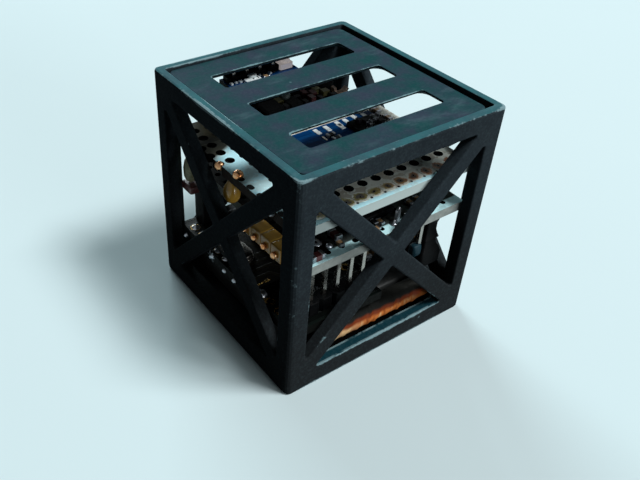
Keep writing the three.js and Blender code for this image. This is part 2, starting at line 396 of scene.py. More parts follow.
print("effects:", MOTTLE.name, GRAIN.name)

# %% [markdown]
# Edge wear is where fingers, pockets and tools rub the dark skin off a print and leave it pale. The
# mesh says where edges are, in the number called wear, and noise breaks that up, because a real edge
# wears in runs and chips. The traces of a board are two sets of thin lines, one of them slanted.

# %% Edge wear and traces
WEAR, source, sink = effect("edge_wear", [("Place", "V"), ("Amount", "F"), ("Skin", "C"), ("Worn", "C")],
                            [("Colour", "C"), ("Share", "F")])
runs = noise(WEAR, source["Place"], 260.0, 5.0, 0.7)
chips = noise(WEAR, source["Place"], 1900.0)
broken = maths(WEAR, "ADD", times(WEAR, runs, 0.75), times(WEAR, chips, 0.25))
reach = times(WEAR, wear_of(WEAR), source["Amount"])
share = ramp(WEAR, maths(WEAR, "ADD", broken, times(WEAR, reach, 0.3)), 0.7, 0.86)
share = times(WEAR, share, ramp(WEAR, reach, 0.02, 0.35))
WEAR.links.new(share, sink["Share"])
WEAR.links.new(mixed(WEAR, share, source["Skin"], source["Worn"]), sink["Colour"])

TRACES, source, sink = effect("traces", [("Place", "V"), ("Scale", "F")], [("Copper", "F")])
straight, slanted = [
    node(TRACES, "TexBrick", {"Vector": laid(TRACES, source["Place"], (0, 0, angle), (1, stretch, 0)),
                              "Scale": source["Scale"], "Mortar Size": 0.045, "Mortar Smooth": 0.2,
                              "Brick Width": 1.7, "Row Height": 0.23}, offset=0.37).outputs["Fac"]
    for angle, stretch in ((0.0, 1.0), (math.pi / 4, 0.7))]
chosen = ramp(TRACES, noise(TRACES, source["Place"], times(TRACES, source["Scale"], 0.8)), 0.48, 0.52)
both = maths(TRACES, "ADD", times(TRACES, straight, chosen),
             times(TRACES, slanted, maths(TRACES, "SUBTRACT", 1.0, chosen)))
TRACES.links.new(both, sink["Copper"])
print("effects:", WEAR.name, TRACES.name)

# %% [markdown]
# Every finish starts the same way: a new material, its shader with constant values, and Object
# coordinates. A second helper ends it, with a colour, a roughness and a bump. Most small parts need
# no more than a mottled, grained finish, so one function makes them all.

# %% Start and end of a finish


def begin(name, **constants):
    """A material, its node tree, its shader and its Object coordinates."""
    material = bpy.data.materials.new(name)
    material.use_nodes = True
    tree = material.node_tree
    shader = tree.nodes["Principled BSDF"]
    for key, value in constants.items():
        shader.inputs[key.replace("_", " ")].default_value = value
    return material, tree, shader, tree.nodes.new("ShaderNodeTexCoord").outputs["Object"]


def end(tree, shader, colour, rough=None, height=None, depth=0.02, strength=0.5):
    """Links to the shader. The bump's depth is in millimetres."""
    tree.links.new(colour, shader.inputs["Base Color"])
    if rough is not None:
        tree.links.new(rough, shader.inputs["Roughness"])
    if height is not None:
        bump = node(tree, "Bump", {"Height": height, "Strength": strength, "Distance": depth * MM})
        tree.links.new(bump.outputs[0], shader.inputs["Normal"])


def plain(name, first, second, scale, sharpness, rough, grain_scale, fine=0.5, depth=0.02, **constants):
    """Two colours mottled at a scale, a range of roughness, and a grain with its scale and depth."""
    material, tree, shader, place = begin(name, **constants)
    colour, share = mottle(tree, place, scale, first, second, sharpness)
    height = grain(tree, place, grain_scale, fine)
    end(tree, shader, colour, ramp(tree, share, 0.0, 1.0, *rough), height, depth)
    return material


print("finish helpers ready")

# %% [markdown]
# The frame and the lid are printed in black plastic, and look like dark slate where light falls on
# them. Printing leaves three marks. Layers run round the walls as fine level lines, 0.4 mm apart.
# Level faces show the slanted strokes of the top layer. All over there is a fine sparkle of dust and small
# scuffs, which are sparse points of a Voronoi pattern. The level faces at the top are painted lighter and
# bluer in clouds, as a painted sheen. The level face of the front sill is painted teal for the light that
# falls on it, with two pale lines along it. Down the walls two colours give way to one plain dark.

# %% Level faces of the print
# Light is painted on the level face of the front sill, and sheen on the level faces at the top.
SILL_START = -16.9                              # The sill is in front of this Y and below SILL_TOP.
SILL_TOP, SHEEN_ABOVE = 6.0, 37.2             # Heights
PLAIN_FROM, PLAIN_AT = 28.0, 6.0                # Heights between which the walls turn plain
OUTER_LINE, INNER_LINE = (-18.5, -18.66), (-17.5, -17.3)    # Y where each pale line begins and is full


def painted_light_faces(tree, sides):
    """Three numbers: 1 on level faces at the top and on the front sill, where sheen and light are painted, 1
    on any level face, 1 low down.
    """
    normal = node(tree, "NewGeometry").outputs["Normal"]
    level = ramp(tree, maths(tree, "ABSOLUTE", axes(tree, normal)[2]), 0.45, 0.9)
    low_down = ramp(tree, sides[2], SILL_TOP * MM, (SILL_TOP - 1) * MM)
    sill = times(tree, ramp(tree, sides[1], SILL_START * MM, (SILL_START - 0.2) * MM), low_down)
    top = ramp(tree, sides[2], SHEEN_ABOVE * MM, (SHEEN_ABOVE + 0.5) * MM)
    return times(tree, level, maths(tree, "MAXIMUM", sill, top)), level, low_down


def painted_level_colour(tree, place, sides, low_down, first, second, worn):
    """The painted sheen and light of the level faces: clouds with slanted smears at the top, and painted teal
    light on the sill with its two pale lines.
    """
    clouds, _ = mottle(tree, place, 300.0, first, second, 3.0)
    smears = noise(tree, laid(tree, place, (0, 0, 0.5), (0.35, 1.0, 1.0)), 210.0, 5.0, 0.7)
    clouds = mixed(tree, ramp(tree, smears, 0.52, 0.75, 0.0, 0.24), clouds, worn)
    broken = noise(tree, place, 420.0, 3.0, 0.6)
    outer, inner = [ramp(tree, sides[1], a * MM, b * MM) for a, b in (OUTER_LINE, INNER_LINE)]
    lines = times(tree, maths(tree, "MAXIMUM", outer, inner), ramp(tree, broken, 0.4, 0.55))
    # Low down, on the front sill, the teal is painted light.
    return mixed(tree, low_down, clouds, mixed(tree, times(tree, lines, 0.7), (12, 50, 60), worn))


print("the sill ends at", SILL_TOP, "mm, and clouds start at", SHEEN_ABOVE, "mm")

# %% Specks, stripes and the whole printed finish


def scuffed(tree, place, colour, worn):
    """Sparse specks and an even dust over a colour."""
    dots = node(tree, "TexVoronoi", {"Vector": place, "Scale": 330.0, "Randomness": 1.0}).outputs
    tiny = ramp(tree, dots["Distance"], 0.05, 0.11, 1.0, 0.0)
    rare = ramp(tree, node(tree, "SeparateColor", {0: dots["Color"]}).outputs[0], 0.86, 0.9)
    colour = mixed(tree, times(tree, times(tree, tiny, rare), 0.4), colour, worn)
    return mixed(tree, ramp(tree, noise(tree, place, 2600.0, 3.0, 0.7), 0.4, 0.75, 0.0, 0.06), colour, worn)


def bands(tree, place, axis, scale, angles, stretch):
    """Even stripes along one axis. They lie 2 pi metres over twenty times the scale apart."""
    inputs = {"Vector": laid(tree, place, angles, stretch), "Scale": scale, "Distortion": 0.0}
    return node(tree, "TexWave", inputs, bands_direction=axis).outputs["Fac"]


def printed(name, skin, cloudy, lit_first, lit_second, worn, amount):
    """Printed plastic: two colours of its walls, two painted on its level faces for the sheen and light
    there, and its worn colour and amount.
    """
    material, tree, shader, place = begin(name, Specular_IOR_Level=0.002)
    sides = axes(tree, place)
    painted_lit, level, low_down = painted_light_faces(tree, sides)
    drift, share = mottle(tree, place, 130.0, skin, cloudy, 2.6)
    base = mixed(tree, ramp(tree, sides[2], PLAIN_FROM * MM, PLAIN_AT * MM, 0.0, 0.75), drift, (37, 39, 40))
    clouds = painted_level_colour(tree, place, sides, low_down, lit_first, lit_second, worn)
    skin = mixed(tree, times(tree, painted_lit, 0.92), base, clouds)
    edges = use(tree, WEAR, Place=place, Amount=amount, Skin=skin, Worn=worn)
    layers = bands(tree, place, "Z", 800.0, (0, 0, 0), (0, 0, 1))
    strokes = bands(tree, place, "X", 380.0, (0, 0, 0.8), (1, 0, 0))
    marks = node(tree, "Mix", {0: level, 2: layers, 3: strokes}).outputs[0]
    height = maths(tree, "ADD", grain(tree, place, 700.0, 0.6), times(tree, marks, 0.35))
    rough = maths(tree, "ADD", ramp(tree, share, 0.0, 1.0, 0.38, 0.52), times(tree, edges["Share"], 0.15))
    end(tree, shader, scuffed(tree, place, edges["Colour"], worn), rough, height, 0.03, 0.35)
    return material


# In each, the third and fourth colours are the painted sheen and light of the level faces.
FRAME_SKIN = printed("printed_frame", (37, 44, 49), (45, 53, 58), (52, 104, 110), (56, 90, 98),
                     (122, 150, 156), 1.0)
LID_SKIN = printed("printed_lid", (16, 24, 26), (22, 30, 32), (29, 70, 72), (52, 62, 77),
                   (112, 144, 150), 0.85)
print("printed finishes:", FRAME_SKIN.name, LID_SKIN.name)

# %% [markdown]
# Drilled board is resin and paper: nearly even, with brown flux stains near its joints. One of the two is
# pale, the other grey. Both are painted dark olive at the back left as shade, and the grey one is painted
# darker at the left as shade. Both have a pale stretch at the front that is painted light, and the pale one
# has painted light at the left as well. Dark and blue boards have a lacquer over copper, so their traces show
# as low ridges that are a little lighter. Sawn edges show the core, pale or dark.

# %% Lacquer, drilled board and sawn core
SHADE_SLOPE, SHADE_FROM, SHADE_AT = -0.565, 13.8, 14.9    # Y minus a share of X, and where the painted shade at the back left begins and is full


def lacquered(name, coat, ridge):
    """Solder lacquer over copper traces."""
    material, tree, shader, place = begin(name, Roughness=0.32, Specular_IOR_Level=0.05)
    copper = use(tree, TRACES, Place=place, Scale=140.0)["Copper"]
    drift, share = mottle(tree, place, 300.0, coat, ridge, 1.0)
    lightly = mixed(tree, times(tree, share, 0.35), coat, drift)
    height = maths(tree, "ADD", copper, times(tree, grain(tree, place, 1500.0, 0.3), 0.25))
    end(tree, shader, mixed(tree, copper, lightly, ridge), None, height, 0.05, 0.6)
    return material


def drilled_finish(name, first, second, stain, lit_tint, lit_left, lit_front, shaded_left):
    """Drilled board with flux stains. Where X is under one given place or Y under another, it takes a pale
    tint of painted light. Where X is under a third, it takes painted shade, and at the back left it takes a
    dark olive painted shade.
    """
    material, tree, shader, place = begin(name, Specular_IOR_Level=0.005)
    x, y, _ = axes(tree, place)
    drift, share = mottle(tree, place, 260.0, first, second, 1.6)
    _, flux = mottle(tree, place, 420.0, first, stain, 7.0)
    colour = mixed(tree, times(tree, ramp(tree, flux, 0.72, 1.0), 0.45), drift, stain)
    # Painted shade: dark olive at the back left, near black at the left.
    slanted = maths(tree, "ADD", y, times(tree, x, SHADE_SLOPE))
    shaded_behind = ramp(tree, slanted, SHADE_FROM * MM, SHADE_AT * MM)
    colour = mixed(tree, times(tree, shaded_behind, 0.95), colour, (54, 52, 38))
    colour = mixed(tree, ramp(tree, x, shaded_left * MM, (shaded_left - 1.5) * MM), colour, (18, 18, 16))
    lit_share = maths(tree, "MAXIMUM", ramp(tree, x, lit_left * MM, (lit_left - 1.5) * MM),
                    ramp(tree, y, lit_front * MM, (lit_front - 0.35) * MM))
    lit_share = times(tree, lit_share, ramp(tree, flux, 0.3, 0.95, 1.0, 0.7))
    lit_share = times(tree, lit_share, maths(tree, "SUBTRACT", 1.0, shaded_behind))
    end(tree, shader, mixed(tree, lit_share, colour, lit_tint), ramp(tree, share, 0, 1, 0.35, 0.5),
        grain(tree, place, 2400.0, 0.8), 0.015)
    return material


def sawn_core():
    """Bare board at a cut: painted light high up, painted shade at the left edge, and painted shade on the
    lining of a hole.
    """
    material, tree, shader, place = begin("board_core", Specular_IOR_Level=0.02)
    x, _, z = axes(tree, place)
    drift, share = mottle(tree, place, 900.0, (166, 174, 170), (142, 152, 148), 3.0)
    sawn = mixed(tree, ramp(tree, z, 25 * MM, 26 * MM), drift, (196, 214, 212))
    sawn = mixed(tree, ramp(tree, x, -16.4 * MM, -16.65 * MM), sawn, (48, 40, 36))
    colour = mixed(tree, ramp(tree, wear_of(tree), 0.3, 0.7), sawn, (16, 15, 14))
    end(tree, shader, colour, ramp(tree, share, 0, 1, 0.4, 0.6), grain(tree, place, 3000.0))
    return material


print("board finishes ready")

# %% Finishes of the boards
OFF_THE_BOARD = -30.0                           # An X and a Y that no point of a board has
# The fourth colour is the pale tint of painted light, and the three places after it bound the painted light
# and the painted shade.
PALE_BOARD = drilled_finish("pale_board", (236, 240, 230), (214, 216, 206), (132, 104, 66), (196, 246, 255),
                            -11.0, -15.6, OFF_THE_BOARD)
GREY_BOARD = drilled_finish("grey_board", (66, 74, 72), (40, 47, 46), (44, 37, 28), (200, 244, 248),
                            OFF_THE_BOARD, -14.7, -7.5)
DARK_BOARD = lacquered("dark_board", (7, 10, 9), (14, 20, 18))
BLUE_BOARD = lacquered("blue_board", (7, 54, 102), (13, 70, 122))
THIN_BOARD = lacquered("thin_board", (12, 11, 8), (26, 23, 15))
BOARD_CORE = sawn_core()
DARK_CORE = plain("dark_core", (16, 18, 16), (11, 12, 12), 900.0, 3.0, (0.5, 0.7), 3000.0,
                  Specular_IOR_Level=0.05)
print("boards:", [m.name for m in (PALE_BOARD, GREY_BOARD, DARK_BOARD, BLUE_BOARD, THIN_BOARD, BOARD_CORE)])

# %% [markdown]
# Metals get a low roughness that drifts, because solder freezes in patches. Plastics get a colour
# that drifts a little and a fine grain. Epoxy chips are matt with a sparkle of filler. All come from
# the same recipe with different numbers: two colours, the mottle's scale and sharpness, the range of
# roughness, the grain's scale, its share of speckle and its depth.

# %% Metals
SOLDER = plain("solder", (184, 188, 194), (132, 136, 142), 1400.0, 3.0, (0.22, 0.42), 2200.0, 0.3, 0.03,
               Metallic=1.0)
GOLD = plain("gold_plate", (214, 176, 98), (186, 142, 70), 1200.0, 2.0, (0.18, 0.34), 2600.0, 0.4, 0.01,
             Metallic=1.0)
COPPER = plain("tinned_copper", (198, 126, 74), (214, 170, 128), 1600.0, 4.0, (0.2, 0.4), 2200.0, 0.4,
               Metallic=0.9)
STEEL = plain("steel_can", (188, 182, 174), (162, 158, 152), 700.0, 2.0, (0.2, 0.32), 1800.0, 0.5, 0.01,
              Metallic=1.0)
print("finishes so far:", len(bpy.data.materials))

# %% Plastics and ceramics
HEADER = plain("header_black", (7, 8, 9), (12, 13, 14), 800.0, 2.0, (0.4, 0.55), 1500.0, 0.6,
               Specular_IOR_Level=0.05)
CHIP = plain("chip_black", (9, 10, 12), (16, 17, 19), 2500.0, 3.0, (0.5, 0.66), 3200.0, 0.9,
             Specular_IOR_Level=0.1)
MUSTARD = plain("header_yellow", (176, 130, 44), (206, 160, 66), 600.0, 2.0, (0.3, 0.42), 1300.0, 0.4,
                Coat_Weight=0.2)
BEAD = plain("bead_yellow", (190, 144, 46), (212, 168, 70), 500.0, 2.0, (0.25, 0.4), 900.0, 0.3, 0.05,
             Coat_Weight=0.4)
CERAMIC = plain("tan_capacitor", (132, 104, 74), (160, 132, 96), 1500.0, 2.5, (0.35, 0.5), 2600.0)
RESISTOR = plain("resistor_black", (14, 14, 18), (28, 27, 32), 2000.0, 3.0, (0.4, 0.55), 2600.0,
                 Specular_IOR_Level=0.15)
DEEP_RED = plain("deep_red", (62, 20, 24), (92, 42, 42), 1500.0, 2.0, (0.3, 0.5), 2200.0)
# Dark olive painted shade, for the rear wing of the top board.
SHADED_BOARD = plain("shaded_board", (28, 28, 19), (46, 44, 30), 420.0, 4.0, (0.7, 0.85), 2400.0,
                    Specular_IOR_Level=0.1)
OLIVE = plain("olive_ceramic", (84, 82, 46), (112, 106, 66), 1500.0, 2.5, (0.35, 0.5), 2600.0)
GREY_CERAMIC = plain("grey_ceramic", (70, 84, 82), (110, 120, 116), 1500.0, 2.5, (0.4, 0.55), 2600.0)
PALE_OLIVE = plain("pale_olive", (120, 122, 84), (190, 190, 160), 600.0, 4.0, (0.4, 0.55), 1600.0)
BLUE_PLUG = plain("blue_plug", (11, 36, 46), (18, 50, 60), 700.0, 2.0, (0.4, 0.55), 1600.0,
                  Specular_IOR_Level=0.2)
BEIGE = plain("beige_film", (170, 136, 116), (196, 164, 142), 500.0, 2.5, (0.35, 0.5), 1500.0)
# This white also paints the shine of the radio module's tinned notches.
WHITE_AND_TIN_SHINE = plain("white_print", (240, 248, 248), (214, 226, 226), 1800.0, 3.0, (0.45, 0.6), 2600.0)
# The lens's faint emission is a painted glow for the light that falls on it from behind; the lamp is not lit.
LENS_PAINTED_GLOW = plain("white_lens", (252, 242, 240), (254, 250, 248), 900.0, 2.0, (0.2, 0.35), 1500.0, 0.3,
             Coat_Weight=0.5, Emission_Color=(1.0, 0.9, 0.86, 1.0), Emission_Strength=0.22)
FOAM = plain("foam", (16, 17, 18), (26, 27, 28), 900.0, 4.0, (0.85, 0.95), 1100.0, 1.0, 0.15)
print("finishes so far:", len(bpy.data.materials))

# %% [markdown]
# Round the holes of the front row the flux has burnt in: dark at the hole, olive on the left and
# brown on the right, and fading into the board at the rim. Here the number called wear is 1 at the
# hole and 0 at the rim.

# %% Burnt flux
FLUX_PAD, tree, shader, place = begin("flux_pad")
burn, share = mottle(tree, place, 900.0, (132, 114, 50), (96, 62, 26), 4.0)
hue = mixed(tree, ramp(tree, axes(tree, place)[0], -4 * MM, 7 * MM), (150, 140, 56), (168, 104, 70))
spread = maths(tree, "ADD", wear_of(tree), times(tree, maths(tree, "SUBTRACT", share, 0.5), 0.5))
colour = mixed(tree, ramp(tree, spread, 0.05, 0.4), (226, 228, 216), mixed(tree, 0.6, burn, hue))
colour = mixed(tree, ramp(tree, spread, 0.42, 0.85), colour, (44, 32, 12))
end(tree, shader, colour, ramp(tree, share, 0, 1, 0.35, 0.55), grain(tree, place, 2200.0))
print("burnt flux done")

# %% [markdown]
# The foil of the battery is laminate, painted dark for the shade it lies in, with creases. The tape over its
# end is amber film, nearly matt. Along X it runs from cream on the left to brown on the right. Up its front
# it is painted near black at the foot for the shade there, then orange, then red-brown, and dark on top.
# Streaks across it are the folds of its wraps, painted pale on their crests as highlights and darker in their
# valleys as shade.

# %% Foil and amber tape
# The foil's dark colours are painted shade.
FOIL, tree, shader, place = begin("pouch", Metallic=0.2, Specular_IOR_Level=0.3)
colour, share = mottle(tree, place, 90.0, (34, 36, 37), (50, 52, 51), 2.0)
crease = noise(tree, place, 160.0, 6.0, 0.65, noise_type="RIDGED_MULTIFRACTAL")
end(tree, shader, colour, ramp(tree, share, 0, 1, 0.34, 0.48), crease, 0.12, 0.35)

TAPE, tree, shader, place = begin("amber_tape", Specular_IOR_Level=0.03, Coat_Weight=0.02, Coat_Roughness=0.3)
streaks = noise(tree, laid(tree, place, (0, math.radians(-30), 0), (1, 0.25, 0.25)), 520.0, 3.0, 0.6)
colour, _ = mottle(tree, place, 110.0, (168, 84, 38), (214, 130, 66), 2.4)
along, _, level = axes(tree, place)
# What decides, where the tint begins and is full, its strength, and the tint
# Of these tints, the first paints highlights on the crests of the wraps, the fourth paints shade in their
# valleys, and the last paints the shade at the foot.
TAPE_TINTS = [(streaks, 0.5, 0.66, 1.0, (244, 196, 136)), (along, 0 * MM, -10 * MM, 0.95, (236, 212, 160)),
              (along, 5 * MM, 12 * MM, 0.8, (92, 52, 22)), (streaks, 0.46, 0.3, 0.7, (110, 48, 24)),
              (level, 4.7 * MM, 5.3 * MM, 1.0, (118, 52, 26)), (level, 5.4 * MM, 5.9 * MM, 1.0, (30, 31, 29)),
              (level, 3.95 * MM, 3.6 * MM, 1.0, (13, 11, 12))]
for decider, begins, full, strength, tint in TAPE_TINTS:
    colour = mixed(tree, ramp(tree, decider, begins, full, 0.0, strength), colour, tint)
end(tree, shader, colour, ramp(tree, streaks, 0.3, 0.7, 0.4, 0.6), streaks, 0.1)
print("finishes:", len(bpy.data.materials))

# %% [markdown]
# ## The printed frame
# The frame is one print: four walls with a cross in each, a floor, and a rim that the lid drops into.
# A cross leaves four windows in a wall. Each window is one strip of rings: it starts on the outer
# face, turns over a worn edge, runs through the wall and turns out onto the inner face. Its outermost
# ring follows the wall's diagonals, where it meets the strips of the next windows point for point.

# %% Sizes of the frame, taken from the CAD nodes
FLOOR = span("floor_plate")[1][2]
LEDGE = span("front_lip")[0][2]
LIP = half + span("front_lip")[1][1]
SILL = span("front_bottom_rail")[1][2]
HEAD = span("front_top_rail")[0][2]
JAMB = -span("front_left_post")[1][0]
WALL = half + span("front_bottom_rail")[1][1]
CROSSING = (SILL + HEAD) / 2
LEAN = math.atan2(HEAD - CROSSING, JAMB)
BAR = 3.0
CORNER, INNER_CORNER, WINDOW_CORNER = 1.0, 0.4, 0.35
FRONT_EDGE, BACK_EDGE = 0.22, 0.15              # Edge radius of a window, outside and inside
ARC, RUN = 4, 20                                # Steps on a corner and on a straight run
STEPS = ARC + RUN
BEND = 0.29                                     # Share of an edge radius that is lost at 45 degrees
OUTER_FACE = (half - CORNER, 0.5, rim_top - 0.6)
INNER_FACE = (half - WALL - INNER_CORNER, FLOOR + 0.3, LEDGE - 0.2)
print("wall", round(WALL, 2), "lip", round(LIP, 2), "bars lean", round(math.degrees(LEAN), 1), "degrees")

# %% Outlines of a window and of its share of the wall


def window(side, radius, offset):
    """A window's outline. Its core corners are where two of its three lines meet, drawn in by the radius.

    Each line is a normal and a reach, and a corner solves normal times point equals reach for two lines.
    """
    sine, cosine = math.sin(LEAN), math.cos(LEAN)
    if side % 2 == 0:
        lines = [(sine, -cosine, -BAR / 2), (0, 1, HEAD - CROSSING), (-sine, -cosine, -BAR / 2)]
    else:
        lines = [(-sine, -cosine, -BAR / 2), (1, 0, JAMB), (-sine, cosine, -BAR / 2)]
    lines = np.array(lines)
    pairs = [lines[[2, 0]], lines[[0, 1]], lines[[1, 2]]]
    core = np.array([np.linalg.solve(pair[:, :2], pair[:, 2] - radius) for pair in pairs])
    core = core * (1 if side < 2 else -1) + (0, CROSSING)
    return np.roll(outline(core, radius + offset, ARC, RUN), -ARC // 2, 0)


def share_of_wall(side, face):
    """The triangle from the crossing to two corners of a wall face, with as many points as a window."""
    wide, low, high = face
    ends = [[(wide, high), (-wide, high)], [(wide, low), (wide, high)],
            [(-wide, low), (wide, low)], [(-wide, high), (-wide, low)]][side]
    return outline([(0, CROSSING), *ends], 0, 0, STEPS)


def standing(flat, depth):
    """A flat outline stood up in the front wall, at a depth behind its face."""
    return np.column_stack([flat[:, 0], np.full(len(flat), depth - half), flat[:, 1]])


def wall_window(side):
    """The strip of rings of one window, and how much each ring wears. A ring is an offset and a depth."""
    edge, back = FRONT_EDGE, BACK_EDGE
    through = [(edge + 0.5, 0, 0), (edge, 0, 0.25), (BEND * edge, BEND * edge, 0.4), (0, edge, 0.25),
               (0, edge + 0.3, 0), (0, WALL - back, 0), (BEND * back, WALL - BEND * back, 0.1),
               (back, WALL, 0)]
    rings = [standing(share_of_wall(side, OUTER_FACE), 0)]
    rings += [standing(window(side, WINDOW_CORNER, offset), depth) for offset, depth, _ in through]
    rings += [standing(share_of_wall(side, INNER_FACE), WALL)]
    worn = [0, *[w for _, _, w in through], 0]
    return rung(rings), np.repeat(worn, 3 * STEPS)


print("one window strip has", len(wall_window(0)[1]), "points")

# %% [markdown]
# What is left is a profile carried round a square: the foot below the walls, the rim with its lip and
# the ledge for the lid, and the floor inside. Four round corners close the walls outside, and four
# small ones inside. Everything meets on shared points, so one merge makes a single closed skin.

# %% Foot, floor, rim and corners


def square(inset, height):
    """A rounded square, inset from the outer faces. Its corner tightens inwards, down to the inner one."""
    radius = max(CORNER - inset, INNER_CORNER)
    reach = half - inset - radius
    return lifted(outline(rectangle(reach, reach), radius, ARC, STEPS), height)


def swept(profile, **closed):
    """A profile of (inset, height, wear) carried round the square, and the wear at each point."""
    rings = np.array([square(inset, height) for inset, height, _ in profile])
    return rung(rings, **closed), np.repeat([w for _, _, w in profile], rings.shape[1])


def wall_corner(face, radius, rising):
    """The round corner between two walls: one arc at every height, outside rising and inside falling."""
    wide, low, high = face
    arc = outline(rectangle(wide, wide), radius, ARC)[:ARC + 1]
    rub = 0.3 if rising == 1 else 0
    column = np.array([lifted(arc, level) for level in np.linspace(low, high, STEPS + 1)[::rising]])
    return grid(column), np.tile([0, rub, rub, rub, 0], STEPS + 1)


FOOT = [(1.0, 0, 0), (0.35, 0, 0.3), (0.1, 0.1, 0.55), (0, 0.35, 0.4), (0, OUTER_FACE[1], 0.1)]
INSIDE = [(WALL, INNER_FACE[1], 0), (WALL + 0.1, FLOOR + 0.08, 0), (WALL + 0.35, FLOOR, 0)]
RIM = [(0, OUTER_FACE[2], 0), (0, rim_top - 0.36, 0.35), (0.1, rim_top - 0.1, 0.6), (0.36, rim_top, 0.4),
       (0.75, rim_top, 0), (LIP - 0.3, rim_top, 0), (LIP - 0.16, rim_top, 0.35),
       (LIP - 0.04, rim_top - 0.05, 0.5), (LIP, rim_top - 0.18, 0.3), (LIP, rim_top - 0.5, 0),
       (LIP, LEDGE, 0), (WALL - 0.12, LEDGE, 0), (WALL, LEDGE - 0.12, 0.2), (WALL, INNER_FACE[2], 0)]
parts = [swept(FOOT, closed_below=True), swept(INSIDE, closed_above=True), swept(RIM)]
one_wall = [wall_corner(OUTER_FACE, CORNER, 1), wall_corner(INNER_FACE, INNER_CORNER, -1)]
one_wall += [wall_window(side) for side in range(4)]
parts += [(quarter_turns(shape, turn), worn) for turn in range(4) for shape, worn in one_wall]
print("surfaces of the frame:", len(parts))

# %% [markdown]
# Some edges are paler than the rest, partly from rubbing and partly as painted highlights where light catches
# them: the front corners of the rim, stretches of its left side, its back and its front, the foot and the
# sill at the front, and the front left post. Near each such place the wear is multiplied by one plus a bell
# curve of the distance.

# %% The whole frame


def worn_pieces(parts):
    """Surfaces with their wear, joined to one shape and one list of wear."""
    return joined(*[shape for shape, _ in parts]), np.concatenate([worn for _, worn in parts])


# Place, reach and how much paler it gets, from wear and painted highlight
RUBBED_AND_HIGHLIT = [((-19, -19, 39.5), 2.0, 2.6), ((19, -19, 39.5), 1.6, 2.0), ((-19, 5, 39.5), 3.0, 1.8),
          ((-19, -1, 39.5), 3.5, 1.6), ((-14, 18, 39.5), 4.0, 1.8), ((-8, 19, 39.5), 4.0, 1.2),
          ((-6, -19, 0), 8.0, 1.9), ((10, -19, 0), 7.0, 1.3), ((-14, -19, 0), 3.5, 1.2),
          ((4, -19, 3.6), 9.0, 1.0), ((-2, -18, 39.5), 8.0, 0.7), ((12, -19, 39.5), 4.0, 0.8),
          ((-19, -19, 18), 7.0, 0.9)]
shell, wear = worn_pieces(parts)
for place, reach, more in RUBBED_AND_HIGHLIT:
    far = np.linalg.norm(shell[0] - np.array(place), axis=1)
    wear = wear * (1 + more * np.exp(-(far / reach) ** 2))
piece("frame_shell", shell, FRAME_SKIN, FRAME_NODES, wear=wear, weld=True)

# %% [markdown]
# ## The lid
# The lid is a plate with three slots that rests on the ledge. It is built like the walls: one strip of rings
# round the outside, from a rectangle on the lower face to the same rectangle on the upper face, and inside
# that rectangle one strip of rings through each slot. A slot widens downwards, and its far upper edge is the
# palest, partly worn and partly a painted highlight.

# %% Lid plate
low, high = span("lid")
centre, size = middle(low, high)
SLOT = np.array([25.0, 4.5]) / 2
SLOT_PITCH, SLOT_CORNER, LID_CORNER, LID_EDGE = 10.2, 0.45, 1.2, 0.14
FIELD = np.array([14.5, 1.5 * SLOT_PITCH])
ONTO_FACE, SLOT_FLARE = 0.4, 1.3                # How far a strip runs onto the face, and a slot widens


def lid_ring(grow, height):
    """The lid's outer outline, widened by `grow`."""
    core = rectangle(size[0] - LID_CORNER, size[1] - LID_CORNER, centre[:2])
    return lifted(np.roll(outline(core, LID_CORNER + grow, ARC, [8, 32, 8, 32]), -ARC // 2, 0), height)


def slot_ring(row, grow, height):
    """The outline of one slot, widened by `grow`."""
    core = rectangle(SLOT[0] - SLOT_CORNER, SLOT[1] - SLOT_CORNER, (0, row * SLOT_PITCH))
    return lifted(np.roll(outline(core, SLOT_CORNER + grow, ARC, 8), -ARC // 2, 0), height)


def through_slot(row):
    """The strip of rings through one slot, and its wear, which is slight on the near side and on the far side
    also paints a highlight.
    """
    edge = outline(rectangle(FIELD[0], SLOT_PITCH / 2, (0, row * SLOT_PITCH)), 0, 0, 12)
    rings = [lifted(edge, high[2]), slot_ring(row, LID_EDGE + ONTO_FACE, high[2]),
             slot_ring(row, LID_EDGE, high[2]), slot_ring(row, bend, high[2] - bend),
             slot_ring(row, 0, high[2] - LID_EDGE), slot_ring(row, 0, high[2] - 0.3),
             slot_ring(row, SLOT_FLARE, low[2]), lifted(edge, low[2])]
    far_wear_and_highlight = np.where(rings[2][:, 1] > row * SLOT_PITCH + 1.5, 1, 0.12)
    return rung(rings), (np.array([0, 0, 1.1, 1.35, 0.4, 0, 0, 0])[:, None] * far_wear_and_highlight).ravel()


bend = LID_EDGE * BEND
field_edge = outline(rectangle(*FIELD), 0, 0, [12, 36, 12, 36])
rings = [lifted(field_edge, low[2]), lid_ring(-LID_EDGE, low[2]), lid_ring(-bend, low[2] + bend),
         lid_ring(0, low[2] + LID_EDGE), lid_ring(0, high[2] - LID_EDGE), lid_ring(-bend, high[2] - bend),
         lid_ring(-LID_EDGE, high[2]), lid_ring(-LID_EDGE - ONTO_FACE, high[2]), lifted(field_edge, high[2])]
around = rung(rings), np.repeat([0, 0, 0, 0, 0.3, 0.5, 0.3, 0, 0], len(field_edge))
plate, wear = worn_pieces([around] + [through_slot(row) for row in (-1, 0, 1)])
piece("lid_plate", plate, LID_SKIN, "lid", body="lid", wear=wear, weld=True)

# %% [markdown]
# ## Drilled boards
# A drilled board is a sheet of small fields, each with a round hole. In every field sixteen points on
# its edge join to sixteen points on its hole. Where the saw cut through a row of holes, the part of a
# circle outside the board is pressed onto the cut. Solidify then gives the sheet its thickness, and
# the walls that it adds take the board's core as their finish.

# %% Sheets with holes
PITCH = 2.54
HOLE_PITCH = 2.6
ROUND = 16                                      # Points round a hole and round its field
TOUCH = 1e-6


def marks(first, last, start, pitch=HOLE_PITCH, margin=1.0):
    """Hole centres on one axis between two edges, with one of them at `start`."""
    lowest = math.ceil((first + margin - start) / pitch)
    highest = math.floor((last - margin - start) / pitch)
    return start + np.arange(lowest, highest + 1) * pitch


